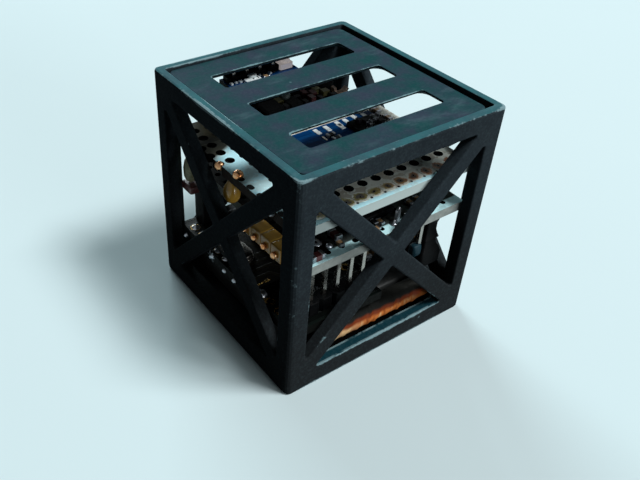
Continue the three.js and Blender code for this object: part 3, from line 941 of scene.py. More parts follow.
def drilled(low, high, columns, rows, hole, open_at=None, cut=False):
    """A flat sheet at the top of a box, with a hole in each field where `open_at` is true.

    The fields meet half way between the hole centres. A field with no hole is one face of sixteen corners.
    A number at each point is 1 on the hole's edge and 0 on the field's edge. With `cut`, the edge at low
    X is sawn through one more column of holes.
    """
    columns = np.concatenate([[low[0]], columns]) if cut else columns
    edges = [np.concatenate([[a], (c[1:] + c[:-1]) / 2, [b]])
             for a, c, b in ((low[0], columns, high[0]), (low[1], rows, high[1]))]
    unit = (outline(rectangle(1, 1), 0, 0, ROUND // 4) + 1) / 2
    angle = np.radians(-135 + 360 / ROUND * np.arange(ROUND))
    circle = hole * np.stack([np.cos(angle), np.sin(angle)], -1)
    i, j = [index.ravel() for index in np.indices((len(columns), len(rows)))]
    start = np.stack([edges[0][i], edges[1][j]], -1)
    field_size = np.stack([edges[0][i + 1], edges[1][j + 1]], -1) - start
    outer = start[:, None] + unit[None] * field_size[:, None]
    centre = np.stack([columns[i], rows[j]], -1)
    inner = centre[:, None] + circle[None]
    beyond = inner[..., 0] < low[0] + TOUCH
    pressed = centre[:, None, 1] + hole * np.sign(circle[None, :, 1] + 1e-9)
    inner[..., 1] = np.where(beyond, pressed, inner[..., 1])
    inner[..., 0] = np.maximum(inner[..., 0], low[0])
    points = np.concatenate([outer, inner], 1)
    points = np.concatenate([points, np.full(points.shape[:2] + (1,), high[2])], -1)
    k = np.arange(ROUND)
    ring = np.stack([k, (k + 1) % ROUND, (k + 1) % ROUND + ROUND, k + ROUND], -1)
    is_open = np.ones(len(i), bool) if open_at is None else open_at(centre[:, 0], centre[:, 1])
    starts = np.arange(len(i)) * 2 * ROUND
    quads = (starts[is_open][:, None, None] + ring[None]).reshape(-1, 4)
    flat = points.reshape(-1, 3)
    on_cut = np.all(flat[quads][:, :, 0] < low[0] + TOUCH, 1)
    closed = starts[~is_open][:, None] + k[None]
    return (flat, [quads[~on_cut], closed]), np.tile(np.repeat([0.0, 1.0], ROUND), len(i))


def board(name, box, finish, core, columns, rows, hole, stands_for=(), **fields):
    """A drilled sheet and its thickness, which Solidify adds below. The new walls take the core's finish."""
    low, high = box
    shape, lining = drilled(low, high, columns, rows, hole, **fields)
    sheet = piece(name, shape, [finish, core], stands_for, wear=lining, weld=True)
    thick = sheet.modifiers.new("thickness", "SOLIDIFY")
    thick.thickness = (high[2] - low[2]) * MM
    thick.offset = -1
    thick.material_offset_rim = 1


def crossings(columns, rows, height):
    """Every crossing of some columns and rows, at one height."""
    x, y = np.meshgrid(columns, rows, indexing="ij")
    return np.column_stack([x.ravel(), y.ravel(), np.full(x.size, float(height))])


print("columns of holes in 30 mm:", len(marks(0, 30, 1)))

# %% Top board
low, high = top_box = span("top_board")
top_surface = high[2]
top_columns, top_rows = marks(low[0], high[0], -1.8), marks(low[1], high[1], -14.7, margin=0.7)
board("top_drilled_board", top_box, PALE_BOARD, BOARD_CORE, top_columns, top_rows, 0.8, "top_board", cut=True,
      open_at=lambda x, y: (x > -13.5) | (y > 2) | (y < -13))
print("fields in the top board:", (len(top_columns) + 1) * len(top_rows))

# %% [markdown]
# The top board has a few marks of its own. Rings of burnt flux lie round the holes of its front row, with a
# dark tick beside each, and flat dark patches that paint the shade of notches run along its left edge. A wing
# carries the board on to the rear wall at the left, painted dark olive for the shade there.

# %% Burnt flux on the top board


def pad(inner, outer, height=0.06, sides=14):
    """A flat ring: four circles, so that its outer side rises and its inner side falls."""
    profile = np.array([(outer, 0), (outer, height), (inner, height), (inner, 0)])
    angle = np.arange(sides) * 2 * np.pi / sides
    points = np.stack([profile[:, :1] * np.cos(angle), profile[:, :1] * np.sin(angle),
                       np.repeat(profile[:, 1:], sides, 1)], -1)
    return grid(points, round_rows=True, round_columns=True)


FLUX_SIDES = 20
front_pads = crossings(top_columns[1:], top_rows[:1], top_surface)
burnt = np.tile(np.repeat([0.0, 0.0, 1.0, 1.0], FLUX_SIDES), len(front_pads))
piece("top_flux_pads", copies(pad(0.16, 1.22, 0.07, FLUX_SIDES), front_pads), FLUX_PAD, wear=burnt, smooth=40)

# %% Middle board
low, high = middle_box = span("middle_board")
middle_columns, middle_rows = marks(low[0], high[0], -12.6), marks(low[1], high[1], -15.2)
board("middle_drilled_board", middle_box, GREY_BOARD, BOARD_CORE, middle_columns, middle_rows, 0.5,
      "middle_board")

# %% Ticks, painted notch shade and rear wing of the top board
ticks = copies(block((-0.2, -0.2, -0.02), (0.2, 0.2, 0.03), 0.15, 0.02, 2), front_pads + (1.35, -0.95, 0))
# Flat dark patches along the left edge paint the shade of notches.
notch_shade_places = crossings([-16.35], top_rows[1:6] + 0.1, top_surface)
notch_shades = copies(block((-0.34, -0.7, -0.02), (0.64, 0.7, 0.03), 0.45, 0.02, 4), notch_shade_places)
piece("top_margin_ticks", joined(ticks, notch_shades), DARK_CORE)
low, high = top_box
wing_box = np.array([low[0], high[1], low[2]]), np.array([-9.0, 16.4, high[2]])
wing_rows = top_rows[-1] + HOLE_PITCH * np.arange(1, 3)
wing_columns = marks(wing_box[0][0], wing_box[1][0], -1.8)
# The wing's finish is painted shade.
board("top_board_rear_wing", wing_box, SHADED_BOARD, DARK_CORE, wing_columns, wing_rows, 0.8, cut=True)

# %% [markdown]
# The controller, the power board, the daughter board and the blue boards carry a lacquer. Most are
# drilled only in rows along their edges, where their headers are soldered. A test on the hole centres
# says which fields are open. Gold rings lie round most of the holes.

# %% Lacquered boards


def nowhere(x, y):
    """No open field, for a board that shows no holes."""
    return np.zeros(len(x), bool)


low, high = box = span("controller_board")
controller_rows = marks(low[1], high[1], -14.0, PITCH, 0.9)
controller_columns = np.array([low[0] + 1.3, low[0] + 1.3 + 6 * PITCH])
board("controller_lacquer_board", box, DARK_BOARD, DARK_CORE, np.linspace(*controller_columns, 7),
      controller_rows, 0.5, "controller_board",
      open_at=lambda x, y: (np.isin(np.round(x, 3), np.round(controller_columns, 3))
                            | (np.abs(y - controller_rows[0]) < 0.1)))
rings = [crossings(controller_columns, controller_rows, high[2])]

low, high = box = span("power_board")
power_rows = marks(low[1], high[1], -9.6, PITCH, 0.9)
power_columns = low[0] + 1.2 + np.arange(6) * PITCH
board("power_lacquer_board", box, DARK_BOARD, DARK_CORE, power_columns, power_rows, 0.5, "power_board",
      open_at=lambda x, y: (x > power_columns[-1] - 0.1) | (y > power_rows[-1] - 0.1))
rings += [crossings(power_columns[-1:], power_rows, high[2]),
          crossings(power_columns[:-1], power_rows[-1:], high[2])]

low, high = box = span("radio_module")
board("radio_blue_board", box, BLUE_BOARD, DARK_CORE, marks(low[0], high[0], low[0] + 1.5, 2.0, 0.8),
      np.array([low[1] + 0.01, high[1] - 0.01]), 0.4, "radio_module", open_at=nowhere)

low, high = box = span("rear_sensor_board")
sensor_columns = span("rear_header")[0][0] + PITCH * (np.arange(5) + 0.5)
sensor_rows = np.array([low[1] + 1.1, high[1] - 1.4])
board("rear_blue_board", box, BLUE_BOARD, DARK_CORE, sensor_columns, sensor_rows, 0.45, "rear_sensor_board",
      open_at=lambda x, y: y > sensor_rows[1] - 0.1)
rings.append(crossings(sensor_columns, sensor_rows[1:], high[2]))

low, high = box = span("daughter_board")
daughter_columns = low[0] + 0.9 + np.arange(5) * 2.4
daughter_rows = low[1] + 1.0 + np.arange(6) * PITCH
board("daughter_thin_board", box, THIN_BOARD, DARK_CORE, daughter_columns, daughter_rows, 0.4,
      "daughter_board", open_at=lambda x, y: x > daughter_columns[-1] - 0.1)
rings.append(crossings(daughter_columns[-1:], daughter_rows, high[2]))
piece("gold_pads", copies(pad(0.5, 0.88), np.concatenate(rings)), GOLD)
print("gold pads:", sum(len(r) for r in rings))

# %% [markdown]
# ## Pins and headers
# A header is a strip of plastic that can be snapped between pins, so each pin's share of it has cut
# corners. The pins are square wire, drawn to a blunt point at both ends. A CAD header's box says how
# many pins there are and which way the row runs.

# %% Pins and rows of pins


def square_wire(levels):
    """A square ring at each height, from (height, half side) pairs."""
    return loft([lifted(rectangle(half_side, half_side), height) for height, half_side in levels])


def pin(low, high, half_side=0.32, taper=0.5):
    """Square wire between two heights, small at the ends."""
    small = 0.5 * half_side
    return square_wire([(low, small), (low + taper, half_side), (high - taper, half_side), (high, small)])


def row_of(node_name):
    """The pin places of a CAD header: its middle, plus steps of one pitch along its longer side."""
    low, high = span(node_name)
    along = int(high[1] - low[1] > high[0] - low[0])
    count = round((high[along] - low[along]) / PITCH)
    places = np.tile([*middle(low, high)[0][:2], 0.0], (count, 1))
    places[:, along] += (np.arange(count) - (count - 1) / 2) * PITCH
    return places, low, high


print("pins in the rear header:", len(row_of("rear_header")[0]))

# %% Headers
STRIP = block((-PITCH / 2, -1.25, 0), (PITCH / 2, 1.25, 2.5), 0.5, 0.1, 1)
# How far the strip stands above the header's foot, and the pins above its top
for node_name, strip_up, pins_up in (("programming_header", 0, 0), ("rear_header", 9.8, 2.85),
                                     ("rear_stack_header", 0, 2.2), ("right_stack_header", 0, 2.2)):
    places, low, high = row_of(node_name)
    piece(node_name + "_strip", copies(STRIP, places + (0, 0, low[2] + strip_up)), HEADER, node_name)
    pins_from = low[2]
    if node_name.endswith("stack_header"):
        sleeve = block((-1.15, -1.15, 2.6), (1.15, 1.15, high[2] - low[2] - 0.05), 0.3, 0.1, 1)
        piece(node_name + "_sleeves", copies(sleeve, places + (0, 0, low[2])), HEADER)
        pins_from = high[2] + 0.3
    piece(node_name + "_pins", copies(pin(pins_from, high[2] + pins_up), places), STEEL)

places = row_of("rear_header")[0] + (0, 0, span("rear_sensor_board")[1][2])
cap = block((-PITCH / 2, -0.8, 0), (PITCH / 2, 1.35, 0.9), 0.4, 0.1, 1)
piece("rear_cap_strip", copies(cap, places), HEADER)
places, low, high = row_of("daughter_strip")
strip = block((-1.25, -1.26, 0), (1.25, 1.26, 1.1), 0.45, 0.1, 1)
piece("daughter_strip_body", copies(strip, places + (0, 0, low[2])), HEADER, "daughter_strip")

# %% Yellow header
low, high = span("yellow_header")
places = crossings([middle(low, high)[0][0]], low[1] + PITCH * (np.arange(4) + 0.5), low[2])
strip = block((-1.3, -PITCH / 2, 0), (1.3, PITCH / 2, 2.5), 0.3, 0.28, 2)
piece("yellow_strip", copies(strip, places), MUSTARD, "yellow_header")
stub = square_wire([(-2.6, 0.3), (-0.1, 0.3), (0.25, 0.21)])
blob = lathe([(0.5, -0.25), (0.62, 0), (0.5, 0.3), (0.25, 0.45)], 12)
pin_end = mirrored(turned(joined(stub, blob), "x"))
piece("yellow_pin_ends", copies(pin_end, places + (-1.55, 0, 1.1)), COPPER, smooth=50)

# %% [markdown]
# ## Chips
# A leaded chip is an epoxy block. Its legs are strips of tinned metal that leave the side, step down
# and lie flat on the board. A leg is a path in its own plane with a thickness along the path's
# normal, given a width.

# %% Chips with legs


def strap(path, width, thickness=0.12):
    """A bent strip: at each point of a path in X and Z, four corners across its width and thickness."""
    path = np.asarray(path, float)
    step = np.gradient(path, axis=0)
    step /= np.linalg.norm(step, axis=1)[:, None]
    normal = np.stack([-step[:, 1], step[:, 0]], -1) * thickness / 2
    over, under = path + normal, path - normal
    across = np.full(len(path), width / 2)
    rings = np.stack([np.stack([f[:, 0], s * across, f[:, 1]], -1)
                      for f, s in ((under, -1), (over, -1), (over, 1), (under, 1))], 1)
    return loft(rings)


def sided(shape, count, pitch, half_x, half_y, sides):
    """A shape that points along +X, in rows on the sides of a rectangle: 0 right, 1 back, 2 left, 3 front."""
    rows = []
    for side in sides:
        reach = half_x if side % 2 == 0 else half_y
        offsets = (np.arange(count) - (count - 1) / 2) * pitch
        row = copies(shape, np.column_stack([np.full(count, reach), offsets, np.zeros(count)]))
        rows.append(quarter_turns(row, side))
    return joined(*rows)


LEG = strap([(-0.25, 0.5), (0.12, 0.5), (0.3, 0.38), (0.42, 0.12), (0.6, 0.06), (0.95, 0.06)], 0.32)
LEG_ROOM = 0.3                                  # What a chip's box leaves for its legs
# Legs on a side, their pitch, the sides that have them, and their length as a share of LEG
for node_name, count, pitch, sides, length in (("controller_chip", 8, 0.7, (0, 1, 2, 3), 0.55),
                                               ("middle_chip", 4, 1.27, (0, 2), 0.95),
                                               ("daughter_chip", 4, 0.95, (1, 3), 0.6)):
    low, high = span(node_name)
    centre, size = middle(low, high)
    foot = (centre[0], centre[1], low[2])
    half_x, half_y = size[0] - LEG_ROOM, size[1] - LEG_ROOM
    body = block((-half_x, -half_y, 0.12), (half_x, half_y, 2 * size[2]), 0.25, 0.2, 2)
    piece(node_name + "_body", copies(body, foot), CHIP, node_name)
    leg = scaled(LEG, (length, 1, min(1, size[2] * 1.6)))
    legs = sided(leg, count, pitch, half_x, half_y, sides)
    piece(node_name + "_legs", copies(legs, foot), SOLDER, weld=True)

# %% [markdown]
# ## Small parts
# The smallest parts are tiny blocks with a metal cap on each end: tan ceramic capacitors, black
# resistors and a few red parts. So many would be heavy one by one, so all that share a finish become
# one piece. A list says where they stand, as x, y and the axis that they lie along.

# %% Small surface parts


def capped_part(length, width, height):
    """The body and the two end caps of a small part that lies along X."""
    at, wide = length * 0.36, width / 2
    body = block((-at, -wide + 0.03, 0), (at, wide - 0.03, height - 0.03), 0.06, 0.04, 1, 1)
    cap = block((-length * 0.14, -wide, 0), (length * 0.14, wide, height), 0.1, 0.06, 1, 1)
    return body, copies(cap, [(-at, 0, 0), (at, 0, 0)])


USUAL_SIZE = (1.6, 0.85, 0.55)


def small_parts(prefix, rows, finishes):
    """One piece for each kind of small part. It returns the end caps, which share one finish.

    A row is a kind, its (x, y, along) spots, the height that they stand on, and their size.
    """
    bodies, all_caps = {kind: [] for kind in finishes}, []
    for kind, spots, height, size in rows:
        for x, y, along in spots:
            body, caps = [copies(quarter_turns(shape, along), (x, y, height)) for shape in capped_part(*size)]
            bodies[kind].append(body)
            all_caps.append(caps)
    for kind, finish in finishes.items():
        piece(prefix + kind, joined(*bodies[kind]), finish)
    return all_caps


print("one small part has", sum(len(shape[0]) for shape in capped_part(*USUAL_SIZE)), "points")

# %% Where the small parts stand
TOP = {name: span(name)[1][2] for name in ("top_board", "middle_board", "controller_board", "power_board",
                                           "radio_module", "daughter_board", "rear_sensor_board")}
SPOTS = [
    ("tan", [(-10.9, 5.9, 0), (-10.9, 7.6, 0), (14.6, 0.5, 1), (14.6, 3.4, 1), (9.6, 6.6, 1), (11.4, 6.6, 1),
             (13.4, 7.4, 0)], TOP["top_board"], USUAL_SIZE),
    ("black", [(-12.1, -8.0, 0), (-12.1, -6.2, 0), (14.6, -5.2, 1), (-8.4, 6.6, 1), (8.6, 8.4, 0)],
     TOP["top_board"], USUAL_SIZE),
    ("tan", [(-6.8, -8.0, 0), (10.2, -8.6, 0)], TOP["radio_module"], USUAL_SIZE),
    ("black", [(1.6, -0.3, 0), (1.8, -1.5, 0), (-3.0, -7.4, 1)], TOP["radio_module"], USUAL_SIZE),
    ("tan", [(1.2, -13.9, 1), (-0.6, -15.0, 0), (-7.4, -14.7, 1), (-3.2, -12.2, 0), (8.6, -12.6, 1),
             (10.4, -12.6, 1), (-9.0, 10.4, 0), (-5.8, 12.0, 1), (6.4, 12.0, 1), (11.0, 10.6, 0)],
     TOP["middle_board"], USUAL_SIZE),
    ("black", [(0.3, -13.4, 1), (-10.6, -12.6, 0), (-10.4, 1.6, 1), (-8.6, 1.6, 1), (5.8, -3.4, 0),
               (5.8, -1.6, 0), (8.4, 4.4, 1), (-4.2, 13.2, 0), (12.2, 13.4, 1)],
     TOP["middle_board"], USUAL_SIZE),
    ("red", [(-12.3, -15.6, 0), (-6.9, -13.0, 1), (8.9, -15.4, 1), (-1.4, 9.4, 0)], TOP["middle_board"],
     (2.2, 1.2, 1.0)),
    ("tan", [(-4.6, 3.0, 0), (-4.6, 1.4, 0), (-11.0, 11.2, 0), (-11.0, 13.4, 0)],
     TOP["controller_board"], USUAL_SIZE),
    ("black", [(-9.6, -10.2, 1), (-7.8, -10.2, 1), (-3.6, -5.0, 0), (-3.6, -3.4, 0), (-11.2, 15.0, 0)],
     TOP["controller_board"], USUAL_SIZE),
    ("tan", [(4.4, -8.8, 1), (6.4, -8.8, 1), (4.6, 2.6, 0), (4.6, 4.4, 0), (12.2, 2.0, 1), (8.2, 12.0, 0)],
     TOP["power_board"], (2.0, 1.25, 1.0)),
    ("black", [(6.2, -5.4, 1), (4.4, -5.4, 1), (8.8, 1.4, 1), (11.6, 8.8, 0)],
     TOP["power_board"], USUAL_SIZE),
    ("black", [(-8.6, -4.6, 0), (-8.6, 6.0, 0), (-12.4, 6.6, 0)], TOP["daughter_board"], (1.2, 0.7, 0.45)),
    ("tan", [(-3.6, 13.3, 0), (-1.6, 13.3, 0)], TOP["rear_sensor_board"], (1.3, 0.75, 0.5))]
caps = small_parts("small_parts_", SPOTS, {"tan": CERAMIC, "black": RESISTOR, "red": DEEP_RED})
piece("small_parts_caps", joined(*caps), SOLDER)

# %% [markdown]
# Solder joints stand where leads come through. Each is a little cone with hollow sides, turned on the
# lathe. On the top and middle boards a seeded draw picks the holes that have one, so that they look
# hand soldered and come out the same each time. Those that a large part would cover are left out.

# %% Solder joints


def clear_of(places, nodes, margin):
    """Keeps the places that lie outside the plan of some nodes, or well below or above them."""
    keep = np.ones(len(places), bool)
    for name in nodes:
        low, high = span(name)
        keep &= (~np.all((places[:, :2] > low[:2] - margin) & (places[:, :2] < high[:2] + margin), 1)
                 | (places[:, 2] < low[2] - 3) | (places[:, 2] > high[2] + 0.1))
    return places[keep]


random = np.random.default_rng(7)
JOINT = lathe([(0.86, 0), (0.84, 0.06), (0.55, 0.2), (0.34, 0.45), (0.2, 0.62), (0.08, 0.68)], 14)
COVERS = ["radio_module", "black_socket", "brown_capacitor", "middle_chip", "yellow_header", "rear_header",
          "rear_stack_header", "right_stack_header", "programming_header", "controller_chip"]
top_spots = crossings(top_columns, top_rows, TOP["top_board"])
top_spots = top_spots[random.random(len(top_spots)) < 0.12]
middle_spots = crossings(middle_columns, middle_rows, TOP["middle_board"])
middle_spots = middle_spots[random.random(len(middle_spots)) < 0.3]
# The front and the left of the top board stay bare, and so does the front of the controller board.
bare = (top_spots[:, 1] < -9) | (top_spots[:, 0] < -5)
places = np.concatenate([top_spots[~bare], middle_spots,
                         crossings(controller_columns[:1], controller_rows, TOP["controller_board"]),
                         crossings(controller_columns[1:], controller_rows[::2], TOP["controller_board"])])
places = clear_of(places, COVERS, 0.7)
places = places[~((places[:, 2] < 11) & (places[:, 1] < -8))]
piece("solder_joints", copies(JOINT, places), SOLDER, smooth=60)
print("solder joints:", len(places))

# %% [markdown]
# ## Battery, tape and foam
# The battery is a foil pouch that lies on the floor, with its side seams folded up against it. Its
# front end is wrapped in amber tape. The wraps make slanted ridges: a cosine raised to a power gives
# narrow crests with wide valleys, and a slower wave makes no two alike.

# %% Battery


def pillow(low, high, radius, edge, crown, arc, slices=12):
    """A block with quarter-circle edges above and below, and sides that bulge.

    The bulge is `crown` times a sine that runs from 0 at the foot through 1 half way up to 0 at the top.
    """
    low, high = np.asarray(low, float), np.asarray(high, float)
    centre, size = middle(low, high)
    core = rectangle(size[0] - radius, size[1] - radius, centre[:2])
    turn = np.linspace(0, np.pi / 2, 4)
    rise, drawn_in = edge * (1 - np.cos(turn)), edge * (1 - np.sin(turn))
    foot, head = low[2] + rise, high[2] - rise[::-1]
    levels = np.concatenate([foot, np.linspace(low[2] + edge, high[2] - edge, slices)[1:-1], head])
    inset = np.interp(levels, np.concatenate([foot, head]), np.concatenate([drawn_in, drawn_in[::-1]]))
    share = (levels - low[2]) / (high[2] - low[2])
    return stacked(core, radius + (crown * np.sin(np.pi * share) - inset), levels, arc)


low, high = span("battery")
TO_Y = [2, 0, 1]                                # Axes of a box whose height will be laid along Y
pouch = pillow(low[TO_Y] + (0.05, 0.2, 0), high[TO_Y] - (0.12, 0.2, 0), 1.5, 0.7, 0.06, 5)
seam = turned(block((2.2, low[0], low[1] + 0.4), (6.0, low[0] + 0.35, high[1] - 0.5), 0.12, 0.08), "y")
piece("battery_pouch", joined(turned(pouch, "y"), seam, mirrored(seam)), FOIL, "battery", smooth=50)

# %% Tape wraps
low, high = span("battery_taped_end")
# Y and Z round the taped end
SECTION = np.array([(-15.9, 1.7), (-15.0, 1.62), (-14.2, 1.6), (-13.3, 1.6), (-13.3, 3.0), (-13.3, 4.6),
                    (-13.3, 6.1), (-13.6, 6.6), (-14.4, 6.72), (-15.0, 6.66), (-15.5, 6.4), (-15.9, 6.0),
                    (-16.2, 5.5), (-16.4, 5.0), (-16.52, 4.6), (-16.5, 4.2), (-16.36, 3.8), (-16.2, 3.4),
                    (-16.1, 2.9), (-16.05, 2.3)])
WRAP_PITCH, WRAP_SLANT, CREST_HEIGHT = 2.2, 0.55, 0.28
x = np.linspace(low[0], high[0], 150)[:, None]
y, z = SECTION[None, :, 0], SECTION[None, :, 1]
phase = 2 * np.pi * (x - WRAP_SLANT * (z - 1.6)) / WRAP_PITCH
phase = phase + 1.1 * np.sin(0.83 * x + 0.4) + 0.5 * np.sin(2.1 * x)
crest = ((1 + np.cos(phase)) / 2) ** 2.5 * (0.65 + 0.35 * np.sin(1.31 * x + 0.8))
front = np.clip((-14.6 - y) / 1.2, 0, 1)        # 0 at the back of the section and 1 on its front
ends = np.clip((high[0] - np.abs(x)) / 0.5, 0, 1) ** 0.5    # 0 at both ends and 1 between them
wrapped_y = y - CREST_HEIGHT * (crest - 0.45) * front * ends + 0.35 * (1 - ends) * front
wrapped_z = z + 0.12 * (crest - 0.3) * front * (z > 4) - 0.4 * (1 - ends) * (z - 4.2) / 2.6
rings = np.stack([wrapped_y, wrapped_z, np.broadcast_to(x, wrapped_y.shape)], -1)
piece("battery_tape_wraps", turned(loft(rings), "x"), TAPE, "battery_taped_end", smooth=60)

# %% Foam pads
for node_name in ("left_foam_pad", "right_foam_pad"):
    shape = pillow(*span(node_name), 0.5, 0.25, 0.22, 3, 8)
    foam = piece(node_name + "_soft", shape, FOAM, node_name, smooth=50)

# %% [markdown]
# ## Larger parts on the boards
# The metal can of a quartz crystal is a long oval with a flange. The power coil is a ferrite block with
# its corners cut off and a drum inside. The yellow capacitor is a drop of resin on its lead, turned on
# the lathe and pressed flat. Two copper blobs sit at the left edge of the boards.

# %% Crystal and coil
low, high = span("crystal_can")
centre, size = middle(low, high)
heights = np.array([0, 0.28, 0.3, 0.9, 1.14, 1.3])
growth = np.array([0, 0, -0.22, -0.22, -0.27, -0.5])
core = rectangle(0.02, size[1] - size[0], centre[:2])
shape = stacked(core, size[0] - 0.02 + growth, low[2] + heights, 8)
piece("crystal_oval_can", shape, STEEL, "crystal_can", smooth=35)

low, high = span("power_coil")
centre = middle(low, high)[0]
foot = (centre[0], centre[1], low[2])
ferrite = block(low, high - (0, 0, 0.35), 1.3, 0.15, 1)
drum = copies(lathe([(2.35, 1.9), (2.35, 2.5), (2.2, 2.6)], 28), foot)
piece("power_coil_ferrite", joined(ferrite, drum), CHIP, "power_coil", smooth=40)
wire = lathe([(2.62, 2.2), (2.7, 2.32), (2.62, 2.44), (2.3, 2.44)], 28)
piece("power_coil_winding", copies(wire, foot), COPPER, smooth=50)

# %% Drop and copper blobs
low, high = span("bead_capacitor")
centre, size = middle(low, high)
WIDEST = 1.34
drop = lathe([(0.15, 0), (0.62, 0.08), (1.0, 0.4), (1.26, 0.95), (WIDEST, 1.6), (1.26, 2.3), (1.0, 3.05),
              (0.66, 3.6), (0.42, 3.95), (0.3, 4.2), (0.24, 4.45)], 24)
flattened = scaled(drop, (size[0] / WIDEST, size[1] / WIDEST, 1))
drop_place = (centre[0] - 0.3, centre[1] + 0.9, low[2])
piece("bead_drop", copies(flattened, drop_place), BEAD, "bead_capacitor", smooth=50)
BALL = lathe([(0.25, 0), (0.6, 0.14), (0.82, 0.45), (0.86, 0.75), (0.74, 1.08), (0.45, 1.32),
              (0.12, 1.4)], 16)
piece("copper_blobs", copies(BALL, [(-16.1, -0.8, 29.1), (-16.3, 4.0, 28.2)]), COPPER, smooth=60)

# %% [markdown]
# A socket is a block of square wells. Each well's field is four rings, from the field's edge to the
# well's edge and down into the well. The walls have a point wherever two fields meet, so that the
# merge closes the block. The capacitor, the lamp and the connector near it are blocks, a turned lens
# and columns that taper.

# %% Sockets


WELL, WELL_RIM, WELL_DEPTH = 0.42, 0.25, 2.2    # Half side of a well, its bevel and its depth


def wells(low, high, columns, rows):
    """A block with a square well in each of `columns` by `rows` fields."""
    centre, size = middle(low, high)
    wall = outline(rectangle(size[0], size[1], centre[:2]), 0, 0, [columns, rows, columns, rows])
    shapes = [rung([lifted(wall, low[2]), lifted(wall, high[2])], closed_below=True)]
    field_size = (high - low)[:2] / (columns, rows)
    for i in range(columns):
        for j in range(rows):
            centre = low[:2] + field_size * (i + 0.5, j + 0.5)
            rings = [lifted(rectangle(*(field_size / 2), centre), high[2])]
            rings += [lifted(rectangle(side, side, centre), high[2] - down)
                      for side, down in ((WELL + WELL_RIM, 0), (WELL, WELL_RIM), (WELL, WELL_DEPTH))]
            shapes.append(rung(rings, closed_above=True))
    return joined(*shapes)


low, high = span("black_socket")
piece("black_socket_wells", wells(low, high, 4, 2), HEADER, "black_socket", weld=True)

low, high = span("brown_capacitor")
moulded = block(low + (0.25, 0, 0.15), high - (0.25, 0, 0), 0.3, 0.3, 2)
piece("brown_capacitor_body", moulded, CERAMIC, "brown_capacitor")
tabs = [block((left, low[1] + 0.5, low[2]), (left + 0.3, high[1] - 0.5, low[2] + 1.3), 0.1, 0.05, 1)
        for left in (low[0], high[0] - 0.3)]
piece("brown_capacitor_tabs", joined(*tabs), SOLDER)

low, high = span("white_lamp")
centre = middle(low, high)[0]
# The case and the lens glow faintly: a painted glow.
piece("white_lamp_case", block(low - (0.6, 0, 0), high - (0.2, 0, 0.1), 0.3, 0.1, 3), LENS_PAINTED_GLOW, "white_lamp")
lens = lathe([(0.8, 0.9), (0.74, 1.25), (0.5, 1.5), (0.15, 1.6)], 20)
piece("white_lamp_lens", copies(lens, (centre[0], centre[1], low[2])), LENS_PAINTED_GLOW, smooth=60)

# %% Front connector and the plug beside it


def tapered(levels, radius, centre):
    """A round-cornered rectangle at each level, from (height, half width, half depth)."""
    return loft([lifted(outline(rectangle(wide - radius, deep - radius, centre), radius, 3), height)
                 for height, wide, deep in levels])


low, high = span("front_connector")
centre, size = [pair[:2] for pair in middle(low, high)]
waist = [(low[2], 0.92), (low[2] + 0.5, 0.8), (low[2] + 1.4, 0.66), (low[2] + 2.8, 0.66), (low[2] + 3.8, 0.8),
         (low[2] + 4.3, 1.0), (high[2], 1.0)]
upper = tapered([(height, *(size * share)) for height, share in waist], 0.35, centre)
piece("front_connector_body", upper, HEADER, "front_connector", smooth=35)
plug = [(10.5, 2.3, 1.9), (12.6, 2.3, 1.9), (13.4, 2.0, 1.7), (14.2, 1.5, 1.4), (low[2] - 0.1, 1.3, 1.2)]
piece("front_connector_plug", tapered(plug, 0.4, centre), HEADER, smooth=35)
piece("front_connector_pin", copies(pin(13.6, 20.6, 0.3), (9.8, -14.9, 0)), STEEL)
small_plug = pillow((8.4, -15.6, 13.2), (10.1, -14.3, 15.4), 0.4, 0.3, 0.12, 3, 6)
piece("blue_plug", small_plug, BLUE_PLUG, smooth=50)

# %% [markdown]
# A narrow module is plugged on the socket, with its own small parts on it. Beside it stand a deep red
# film capacitor under a beige clip and a tall dark chip. The rear board has the dark block of its plug
# below and white parts on top. At the rear left are a spacer, a drop and a red block.

# %% Plug-in module
low, high = span("black_socket")
deck = high[2] + 0.7
plate = block((-7.2, low[1] - 0.4, high[2] + 0.02), (7.4, high[1] + 0.2, deck), 0.3, 0.06, 2)
piece("plug_module_board", plate, THIN_BOARD)
chips = joined(block((-6.4, 5.6, deck), (-3.2, 8.8, deck + 0.85), 0.2, 0.15, 2),
               block((-1.9, 5.6, deck), (0.4, 8.3, deck + 0.7), 0.2, 0.15, 2),
               block((5.0, 9.0, 22.3), (9.4, 11.6, 34.3), 0.3, 0.2, 2))
piece("plug_module_chips", chips, CHIP)
MODULE_SPOTS = [("tan", [(-2.6, 8.2, 1), (4.9, 8.2, 0), (5.8, 7.0, 0)], deck, (1.8, 1.2, 0.9)),
                ("black", [(-2.5, 6.4, 1), (1.1, 6.0, 1), (0.9, 8.0, 0), (4.0, 5.8, 1), (6.6, 5.6, 0)], deck,
                 (1.5, 0.9, 0.7)),
                ("red", [(2.5, 6.2, 1), (2.4, 8.1, 1), (3.6, 7.4, 1)], deck, (1.8, 1.0, 1.0))]
small_parts("plug_module_", MODULE_SPOTS, {"tan": OLIVE, "black": RESISTOR, "red": DEEP_RED})
piece("plug_module_fuzz", copies(BALL, (-1.2, 8.4, deck + 0.4)), GREY_CERAMIC, smooth=60)

